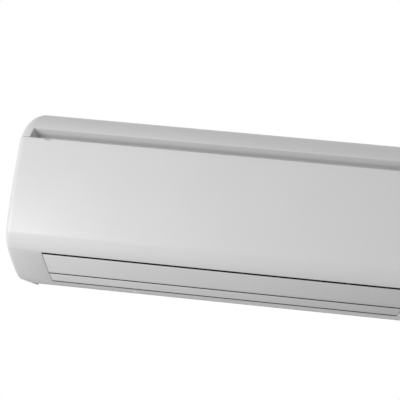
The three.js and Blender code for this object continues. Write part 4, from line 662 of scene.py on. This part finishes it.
class Finish(Enum):
    """The finishes of the unit, by the record's material slots."""

    WHITE = MouldedPlastic("white_plastic", (0.66, 0.665, 0.66), 0.42)
    PANEL = MouldedPlastic("panel_plastic", (0.67, 0.675, 0.67), 0.36)
    # inner_plastic: its near-black base colour is painted shade, so the inside seen through the outlet's
    # gaps reads dark
    INNER = MouldedPlastic("inner_plastic", (0.09, 0.09, 0.095), 0.55, 0.9, 0.03, 0.04)
    DARK = MouldedPlastic("dark_plastic", (0.03, 0.03, 0.033), 0.5, 0.7, 0.03, 0.2)
    FILTER = FilterNet("filter_plastic", (0.3, 0.38, 0.44))
    STEEL = ZincSheet("plate_steel", (0.62, 0.63, 0.65))
    SHAFT = DrawnMetal("shaft_steel", (0.6, 0.6, 0.62), 0.25)
    FINS = DrawnMetal("fin_aluminium", (0.78, 0.8, 0.82), 0.35, (1.0, 0.1, 0.1), 0.12)
    COPPER = DrawnMetal("copper", (0.78, 0.42, 0.28), 0.28)
    BRASS = DrawnMetal("brass", (0.78, 0.6, 0.3), 0.26, (0.1, 1.0, 1.0), 0.15)
    RUBBER = MouldedPlastic("rubber", (0.02, 0.02, 0.022), 0.75, 0.8, 0.04, 0.2)
    BOARD = CircuitLaminate("board_green", (0.03, 0.14, 0.06))
    WINDOW = MouldedPlastic("smoked_window", (0.03, 0.032, 0.036), 0.16, 6.0, 0.004, 0.1)


class Wardrobe:
    """Makes each finish once and hands it out."""

    def __init__(self) -> None:
        """Builds every finish."""
        self.made = {finish: finish.value.make() for finish in Finish}

    def of(self, finish: Finish) -> bpy.types.Material:
        """The material of that finish."""
        return self.made[finish]

    def dress_solids(self) -> None:
        """Gives every solid the finish that its record names."""
        by_slot = {finish.value.name: finish for finish in Finish}
        slots = {part["node"]: part["material_slot"] for part in frame["record"]["subparts"]}
        for node, solid in frame["nodes"].items():
            solid.data.materials.clear()
            solid.data.materials.append(self.of(by_slot[slots[node]]))


# ---------------------------------------------------------------- casing
@dataclass
class Casing:
    """The white casing with its recess, pocket, outlet, filter guides and panel cradles."""

    wardrobe: Wardrobe
    recess_half: float = 383.0
    recess_taper: float = 8.0
    recess_top: float = 265.6
    recess_back: float = 166.0
    recess_ceiling: float = 252.0
    recess_bulge: float = -0.8
    recess_heel: float = 3.0
    recess_floor: float = 238.0
    recess_round: float = 6.0
    seam: float = 0.4
    undercut: Point = (14.0, 0.8)
    jaw: Point = (122.0, 262.0)
    windows: tuple[Point, Point] = ((-366.0, -52.0), (-42.0, 272.0))
    window_low: float = 119.0
    window_high: float = 236.0
    intake_half: float = 366.0
    intake: Point = (24.0, 114.0)
    ledge: float = 3.0
    channel_front: float = 45.3
    channel_top: float = 33.0
    cradle_x: float = 352.0
    cradle_width: float = 9.0
    receiver: Point = (270.0, 334.0)
    button: Point = (306.0, 98.0)
    button_radius: float = 5.3
    button_bore: float = 6.7
    button_wall: float = 1.6
    screws: tuple[float, float] = (-200.0, 106.0)
    screw_d: float = 74.0
    screw_seat: float = 11.4
    screw_run: Point = (-2.0, 20.0)
    screw_cup: float = 6.3
    screw_sink: float = 4.5
    screw_bore: float = 2.3
    wall_clear: float = 1.5
    cradle_play: float = 0.3
    cradle_wall: float = 2.0
    cradle_foot: Point = (4.0, 1.0)
    top_cut: Point = (285.0, 300.0)
    grille_drop: float = 3.3
    receiver_span: Point = (0.55, 0.85)
    button_way: Point = (-14.0, 5.0)
    button_sunk: float = 1.25
    button_lead: float = 3.0
    guide_back: float = 8.0
    guide_wall: float = 2.0
    guide_low: float = 118.5
    guide_high: float = 291.7
    slot: tuple[float, float, float] = (107.1, 108.9, 112.7)
    slot_turn: Point = (-29.0, 114.0)
    filter_centre: Point = (86.5, 158.0)

    def pocket(self, deeper: float) -> bpy.types.Object:
        """The cutter for the pocket that holds the panel."""
        line = extended(VIEW.panel(), VIEW.panel_gap + deeper)
        line[-1] = extended(VIEW.panel(), self.seam + deeper)[-1]
        return prism("pocket", band(line, -VIEW.pocket - deeper, BEYOND), -VIEW.width, VIEW.width)

    def recess(self, wall: float) -> bpy.types.Object:
        """The cutter for the finger recess, rounded and shorter at its back than at its mouth."""
        mouth, front = VIEW.depth + BEYOND, VIEW.panel_top[0] - VIEW.pocket
        back, floor = self.recess_back, self.recess_floor
        ceiling = arc((front, self.recess_top), (back, self.recess_ceiling), self.recess_bulge, 10)
        outline = offset([
            (mouth, self.recess_top), *ceiling, (back, floor + self.recess_heel),
            (back + self.recess_heel, floor), (mouth, floor),
        ], wall)
        slope = self.recess_taper / (VIEW.panel_top[0] - back)
        rings = []
        for side in (-1, 1):
            half = [self.recess_half + wall - slope * (VIEW.panel_top[0] - d) for d, _ in outline]
            rings.append([place(side * h, d, z) for h, (d, z) in zip(half, outline)])
        recess = loft("recess", rings)
        soften(recess, self.recess_round + wall, 5)
        return recess

    def shell(self) -> bpy.types.Object:
        """The walls, before the openings are cut."""
        shell = loft("casing", VIEW.rings(0.0))
        whole = (-VIEW.width, VIEW.width)
        corner = VIEW.bead * math.sqrt(2) + self.seam
        combine(
            shell, Cut.AWAY, self.pocket(0.0), self.recess(0.0),
            block("wall_side", whole, (BELOW - BEYOND, self.wall_clear), (BELOW, ABOVE)),
            rod_along("bead_way", whole, VIEW.hinge(), corner, 48),
        )
        inside = loft("inside", VIEW.rings(VIEW.wall))
        combine(inside, Cut.AWAY, self.pocket(VIEW.wall), self.recess(VIEW.wall))
        return combine(shell, Cut.AWAY, inside)

    def openings(self) -> list[bpy.types.Object]:
        """Cutters for the outlet, the pipes, the intake and the filters."""
        side = VIEW.width / 2 - VIEW.end_round - VIEW.wall
        low, high = VIEW.outlet_low
        under = (low - self.undercut[0], high + self.undercut[1])
        return [
            across("outlet", band(VIEW.outlet(), -OVERCUT, BEYOND) + [under, VIEW.outlet_low]),
            block("channel", (-side, side), (0.0, self.channel_front), (-OVERCUT, self.channel_top)),
            block("intake", (-self.intake_half, self.intake_half), self.intake, self.top_cut),
        ]

    def small_openings(self) -> list[bpy.types.Object]:
        """Cutters for the filters' windows and grooves, the receiver and the button."""
        x, z = self.button
        face = VIEW.outlet(6, *self.receiver_span)
        ends = [place(x, VIEW.depth + out, z) for out in self.button_way]
        cutters = [
            prism("receiver", band(face, -VIEW.wall - 1, 10.0), *self.receiver),
            rod("button_hole", *ends, self.button_radius, 32),
        ]
        _, inner, outer = self.slot
        ring = circle(self.filter_centre, outer, *self.slot_turn, 48)
        ring += circle(self.filter_centre, inner, *self.slot_turn, 48)[::-1]
        for x0, x1 in self.windows:
            cutters.append(prism("groove", ring, x0 - self.guide_wall, x1 + self.guide_wall))
            deep, high = (self.recess_back, VIEW.depth), (self.window_low, self.window_high)
            cutters.append(block("window", (x0, x1), deep, high))
        return cutters

    def guide(self, x0: float, x1: float) -> bpy.types.Object:
        """An upright rib inside the casing that carries the edges of the filters."""
        half = VIEW.wall / 2
        rib = loft("guide", VIEW.rings(half))
        depth = (self.filter_centre[0] - self.guide_back, VIEW.depth)
        keep = block("keep", (x0, x1), depth, (self.guide_low, self.guide_high))
        combine(rib, Cut.KEEP, keep)
        way = rod_along("way", (x0 - 1, x1 + 1), self.filter_centre, self.slot[0], 96)
        return combine(rib, Cut.AWAY, self.pocket(half), way, self.recess(half))

    def guides(self) -> list[bpy.types.Object]:
        """The ribs at both ends and between the two filters."""
        (left, middle), (after, right) = self.windows
        wall = self.guide_wall
        return [
            self.guide(left - 2 * wall, left + wall), self.guide(middle - wall, after + wall),
            self.guide(right - wall, right + 2 * wall),
        ]

    def cradle(self, x: float) -> bpy.types.Object:
        """One of the two open cradles that hold the panel's bead."""
        inner = VIEW.bead + self.cradle_play
        outer = inner + self.cradle_wall
        back, front = self.cradle_foot
        half = self.cradle_width / 2
        hinge = VIEW.hinge()
        ring = circle(hinge, outer, *self.jaw, 16) + circle(hinge, inner, *self.jaw, 16)[::-1]
        cradle = prism("cradle", ring, x - half, x + half)
        foot = block(
            "foot", (x - half, x + half), (hinge[0] - outer - back, hinge[0] - outer + front),
            (self.recess_floor - VIEW.wall, hinge[1]),
        )
        return combine(cradle, Cut.ADD, foot)

    def button_seat(self) -> bpy.types.Object:
        """The cup behind the pocket that the button slides in."""
        x, z = self.button
        face = VIEW.depth - VIEW.pocket
        outer = self.button_bore + self.button_wall
        sunk = (outer, self.button_bore, self.button_sunk, -2.0)
        end, seat, rim, out = (place(x, face - deep, z) for deep in sunk)
        cup = rod("cup", end, rim, outer, 40)
        bore = rod("bore", seat, out, self.button_bore, 40)
        return combine(cup, Cut.AWAY, bore, rod("lead", end, out, self.button_lead, 24))

    def screw_holes(self, piece: bpy.types.Object) -> None:
        """Adds the sunk seats of the casing's screws and bores them."""
        low, high = self.screw_run
        heights = (low, self.screw_seat + low, self.screw_seat, self.screw_seat + VIEW.wall, high)
        for x in self.screws:
            under, foot, seat, top, over = (place(x, self.screw_d, z) for z in heights)
            combine(piece, Cut.ADD, rod("cup", foot, top, self.screw_cup))
            sink, hole = rod("sink", under, seat, self.screw_sink), rod("hole", under, over, self.screw_bore)
            combine(piece, Cut.AWAY, sink, hole)

    def build(self) -> bpy.types.Object:
        """Builds the casing and sets it on the unit."""
        casing = self.shell()
        combine(casing, Cut.AWAY, *self.openings())
        combine(casing, Cut.ADD, *self.guides(), self.cradle(-self.cradle_x), self.cradle(self.cradle_x))
        combine(casing, Cut.ADD, self.rim(), self.button_seat())
        combine(casing, Cut.AWAY, *self.small_openings())
        self.screw_holes(casing)
        soften(casing, 0.45)
        return fit(
            casing, "unit", self.wardrobe.of(Finish.WHITE), "white_plastic",
            "front_grille", "top_cover", "side_cover_left", "side_cover_right",
            "recess_back", "hinge_rail", "panel_cradle_left", "panel_cradle_right",
        )

    def rim(self) -> bpy.types.Object:
        """The ledge that carries the intake grille."""
        half, (back, front) = self.intake_half, self.intake
        low, over = VIEW.height - self.grille_drop - self.ledge, self.top_cut[1]
        rim = block("rim", (-half - 1, half + 1), (back - 1, front + 1), (low, VIEW.height - 1))
        seat = block("seat", (-half, half), (back, front), (low + self.ledge, over))
        inner, depth = half - self.ledge, (back + self.ledge, front - self.ledge)
        way = block("way", (-inner, inner), depth, (0.0, over))
        return combine(rim, Cut.AWAY, seat, way)


# ---------------------------------------------------------------- front panel
@dataclass
class FrontPanel:
    """The thin panel over the whole front, with its bead and stiffening ribs."""

    wardrobe: Wardrobe
    ribs: int = 5
    rib_run: tuple[int, int] = (12, -2)
    rib_depth: float = 2.0
    rib_half: float = 1.0
    cradle_x: float = 352.0
    notch_half: float = 5.3

    def notch(self, x: float) -> bpy.types.Object:
        """The cutter that clears one cradle at the panel's top edge."""
        line = VIEW.panel()
        (ud, uz), (d, z) = direction(line, len(line) - 1), VIEW.panel_top
        way = [(d - VIEW.bead * ud, z - VIEW.bead * uz), (d + ud, z + uz)]
        return prism("notch", band(way, -VIEW.pocket, 1.0), x - self.notch_half, x + self.notch_half)

    def build(self) -> bpy.types.Object:
        """Builds the panel and hangs it on its hinge."""
        line = VIEW.panel()
        panel = loft("front_panel_skin", VIEW.rings(0.0))
        combine(panel, Cut.AWAY, loft("inside", VIEW.rings(VIEW.panel_wall)))
        tray = prism("tray", band(line, VIEW.panel_gap - VIEW.pocket, BEYOND), -VIEW.width, VIEW.width)
        combine(panel, Cut.KEEP, tray)
        combine(panel, Cut.AWAY, self.notch(-self.cradle_x), self.notch(self.cradle_x))
        half = VIEW.width / 2 - VIEW.end_round
        combine(panel, Cut.ADD, rod_along("bead", (-half, half), VIEW.hinge(), VIEW.bead, 24))
        low, high = -VIEW.panel_wall - self.rib_depth, -VIEW.panel_wall + self.rib_half
        outline = band(line[slice(*self.rib_run)], low, high)
        for i in range(self.ribs):
            x = (i - self.ribs // 2) * VIEW.width / (self.ribs + 1)
            combine(panel, Cut.ADD, prism("rib", outline, x - self.rib_half, x + self.rib_half))
        soften(panel, 0.5, 3)
        return fit(
            panel, "front_panel", self.wardrobe.of(Finish.PANEL), "panel_plastic",
            "front_panel", "panel_trim", "panel_end_left", "panel_end_right",
        )


# ---------------------------------------------------------------- flaps
@dataclass
class Flap:
    """One of the two swinging blades that close the air outlet."""

    wardrobe: Wardrobe
    name: str
    pivot: Point
    start: float
    end: float
    driven: float
    wall: float = 3.4
    edge: float = 0.8
    taper: float = 9.0
    steps: int = 24
    end_gap: float = 1.0
    pin: float = 2.5
    play: float = 0.3
    lug: float = 3.0
    left_lug: float = 7.0
    foot_half: float = 0.06
    eye_wall: float = 2.3

    def blade(self) -> bpy.types.Object:
        """The curved blade, whose inner side runs out thin towards both long edges."""
        line = VIEW.outlet(self.steps, self.start, self.end)
        length = (self.end - self.start) * VIEW.outlet_length()
        inner = []
        for i in range(len(line)):
            share = min(i, self.steps - i) / self.steps * length / self.taper
            thick = self.edge + (self.wall - self.edge) * math.sin(min(1.0, share) * math.pi / 2)
            inner.append(offset(line[max(i - 1, 0):i + 2], -thick)[min(i, 1)])
        outline = line + inner[::-1]
        return across(self.name + "_blade", outline, self.end_gap)

    def lug_at(self, x: Point) -> bpy.types.Object:
        """An arm from the blade to the pivot."""
        middle = (self.start + self.end) / 2
        span = (middle - self.foot_half, middle + self.foot_half)
        feet = offset(VIEW.outlet(2, *span), -self.wall / 2)
        foot = ((feet[0][0] + feet[2][0]) / 2, (feet[0][1] + feet[2][1]) / 2)
        ud, uz = unit(self.pivot[0] - foot[0], self.pivot[1] - foot[1])
        radius = self.pin + self.eye_wall
        wing = (-uz * radius, ud * radius)
        outline = [
            feet[2], (self.pivot[0] - wing[0], self.pivot[1] - wing[1]),
            (self.pivot[0] + wing[0], self.pivot[1] + wing[1]), feet[0],
        ]
        return combine(prism("arm", outline, *x), Cut.ADD, rod_along("eye", x, self.pivot, radius))

    def build(self) -> bpy.types.Object:
        """Builds the flap and sets it on its body."""
        short = VIEW.outlet_taper + self.end_gap
        x0, x1 = VIEW.outlet_left + short, VIEW.outlet_right - short
        flap = self.blade()
        combine(
            flap, Cut.ADD, self.lug_at((x0, x0 + self.left_lug)), self.lug_at((x1 - self.lug, x1)),
            rod_along("pin", (x1 - 1, x1 + self.driven), self.pivot, self.pin),
        )
        bore = rod_along("bore", (x0 - 1, x0 + self.left_lug), self.pivot, self.pin + self.play)
        combine(flap, Cut.AWAY, bore)
        soften(flap, 0.3)
        return fit(flap, self.name, self.wardrobe.of(Finish.WHITE), "white_plastic", self.name)


@dataclass
class FlapPair:
    """Both blades and the line where they meet."""

    wardrobe: Wardrobe
    meeting: float = 0.337
    gap: float = 4.6
    upper_short: float = 5.4
    lower_short: float = 3.4
    upper_pivot: Point = (160.4, 50.1)
    lower_pivot: Point = (121.6, 25.2)
    driven: Point = (16.3, 10.3)

    def build(self) -> None:
        """Builds the upper blade, then the lower one."""
        length = VIEW.outlet_length()
        half = self.gap / 2 / length
        upper = (self.meeting + half, 1 - self.upper_short / length)
        lower = (self.lower_short / length, self.meeting - half)
        Flap(self.wardrobe, "upper_flap", self.upper_pivot, *upper, self.driven[0]).build()
        Flap(self.wardrobe, "lower_flap", self.lower_pivot, *lower, self.driven[1]).build()


# ---------------------------------------------------------------- intake grille
@dataclass
class IntakeGrille:
    """The lattice that lies in the top of the casing."""

    wardrobe: Wardrobe
    half: float = 365.7
    depth: Point = (24.3, 113.7)
    thickness: float = 3.0
    columns: int = 48
    rows: int = 12
    bar: float = 1.8

    def build(self) -> bpy.types.Object:
        """Builds the lattice from one sheet of cells and lays it in its ledge."""
        deselect()
        middle = sum(self.depth) / 2
        wide, deep = 2 * self.half, self.depth[1] - self.depth[0]
        bpy.ops.mesh.primitive_grid_add(
            x_subdivisions=self.columns, y_subdivisions=self.rows, size=1,
            location=place(0, middle, VIEW.height), scale=(1, 1, 1),
        )
        grille = bpy.context.object
        grille.name = "intake_lattice"
        grille.scale = (wide * MM, deep * MM, 1)
        settle(grille)
        bpy.ops.object.mode_set(mode="EDIT")
        bpy.ops.mesh.select_mode(type="FACE")
        bpy.ops.mesh.select_all(action="SELECT")
        bpy.ops.mesh.inset(use_individual=True, thickness=self.bar / 2 * MM)
        bpy.ops.mesh.delete(type="FACE")
        bpy.ops.object.mode_set(mode="OBJECT")
        modifier = grille.modifiers.new("thickness", "SOLIDIFY")
        modifier.thickness, modifier.offset = self.thickness * MM, -1
        bpy.ops.object.modifier_apply(modifier=modifier.name)
        soften(grille, 0.25, 1)
        return fit(grille, "unit", self.wardrobe.of(Finish.WHITE), "white_plastic", "top_intake_grille")


# ---------------------------------------------------------------- studio
@dataclass
class Lamp:
    """A soft rectangular lamp that looks at a point."""

    name: str
    position: Colour
    target: Colour
    size: Point
    power: float

    def build(self) -> None:
        """Hangs the lamp."""
        data = bpy.data.lights.new(self.name, "AREA")
        data.shape, data.size, data.size_y, data.energy = "RECTANGLE", *self.size, self.power
        lamp = bpy.data.objects.new(self.name, data)
        lamp.location = self.position
        aim = Vector(self.target) - Vector(self.position)
        lamp.rotation_euler = aim.to_track_quat("-Z", "Y").to_euler()
        bpy.context.scene.collection.objects.link(lamp)


@dataclass
class Studio:
    """Pale floor, white surroundings, soft lamps and the camera."""

    floor_z: float = -1.7
    floor_half: float = 4.0
    surroundings: float = 0.42
    camera_place: Colour = (-0.017155, -1.503024, -0.093699)
    yaw: float = -3.46604
    pitch: float = 4.08805
    roll: float = 5.68200
    lens: float = 74.0768
    sensor: float = 36.0

    def floor(self) -> None:
        """Lays a pale matt floor far below the unit."""
        deselect()
        bpy.ops.mesh.primitive_plane_add(size=2 * self.floor_half, location=(0, 0, self.floor_z))
        floor = bpy.context.object
        floor.name = "floor"
        pad = NodePad("pale_floor")
        pad.tint(pad.noise(900.0), (0.8, 0.8, 0.8), (0.84, 0.84, 0.84))
        pad.roughness(pad.noise(300.0), 0.7, 0.8)
        floor.data.materials.append(pad.material)

    def sky(self) -> None:
        """White for the camera and for reflections, and a plain level for light."""
        world = bpy.data.worlds.new("surroundings")
        world.use_nodes = True
        tree = world.node_tree
        light = tree.nodes["Background"]
        light.inputs["Color"].default_value = (1, 1, 1, 1)
        light.inputs["Strength"].default_value = self.surroundings
        white = tree.nodes.new("ShaderNodeBackground")
        white.inputs["Color"].default_value = (1, 1, 1, 1)
        white.inputs["Strength"].default_value = 1.0
        path = tree.nodes.new("ShaderNodeLightPath")
        seen = path.outputs["Is Camera Ray"]
        for ray in ("Is Transmission Ray", "Is Glossy Ray"):
            either = tree.nodes.new("ShaderNodeMath")
            either.operation = "MAXIMUM"
            tree.links.new(seen, either.inputs[0])
            tree.links.new(path.outputs[ray], either.inputs[1])
            seen = either.outputs[0]
        mix = tree.nodes.new("ShaderNodeMixShader")
        tree.links.new(seen, mix.inputs[0])
        tree.links.new(light.outputs[0], mix.inputs[1])
        tree.links.new(white.outputs[0], mix.inputs[2])
        tree.links.new(mix.outputs[0], tree.nodes["World Output"].inputs["Surface"])
        bpy.context.scene.world = world

    def lamps(self) -> None:
        """One large lamp from the front left and a weak one from above."""
        Lamp("key", (-1.65, -1.9, -0.3), (-0.25, -0.1, 0.0), (1.2, 1.2), 38.5).build()
        Lamp("top", (-0.4, -0.9, 1.8), (0.0, -0.1, 0.0), (1.8, 1.2), 3.0).build()

    def camera(self) -> None:
        """Sets the camera at the photographed angle."""
        data = bpy.data.cameras.new("camera")
        data.lens, data.sensor_width = self.lens, self.sensor
        camera = bpy.data.objects.new("camera", data)
        yaw, pitch, roll = (math.radians(a) for a in (self.yaw, self.pitch, self.roll))
        ahead = Vector((math.sin(yaw) * math.cos(pitch), math.cos(yaw) * math.cos(pitch), math.sin(pitch)))
        right = Vector((math.cos(yaw), -math.sin(yaw), 0))
        up = right.cross(ahead)
        level = right * math.cos(roll) + up * math.sin(roll)
        upward = up * math.cos(roll) - right * math.sin(roll)
        turned = Matrix((level, upward, -ahead)).transposed().to_4x4()
        camera.matrix_world = Matrix.Translation(self.camera_place) @ turned
        bpy.context.scene.collection.objects.link(camera)
        bpy.context.scene.camera = camera

    def build(self) -> None:
        """Sets up the whole studio."""
        bpy.context.scene.view_settings.view_transform = "Standard"
        self.floor()
        self.sky()
        self.lamps()
        self.camera()


def main() -> None:
    """Builds the sub-assemblies in order, then the studio."""
    logging.basicConfig(level=logging.INFO, format="%(name)s: %(message)s")
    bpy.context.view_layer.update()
    wardrobe = Wardrobe()
    wardrobe.dress_solids()
    Casing(wardrobe).build()
    FrontPanel(wardrobe).build()
    FlapPair(wardrobe).build()
    IntakeGrille(wardrobe).build()
    Studio().build()


if __name__ == "__main__":
    main()
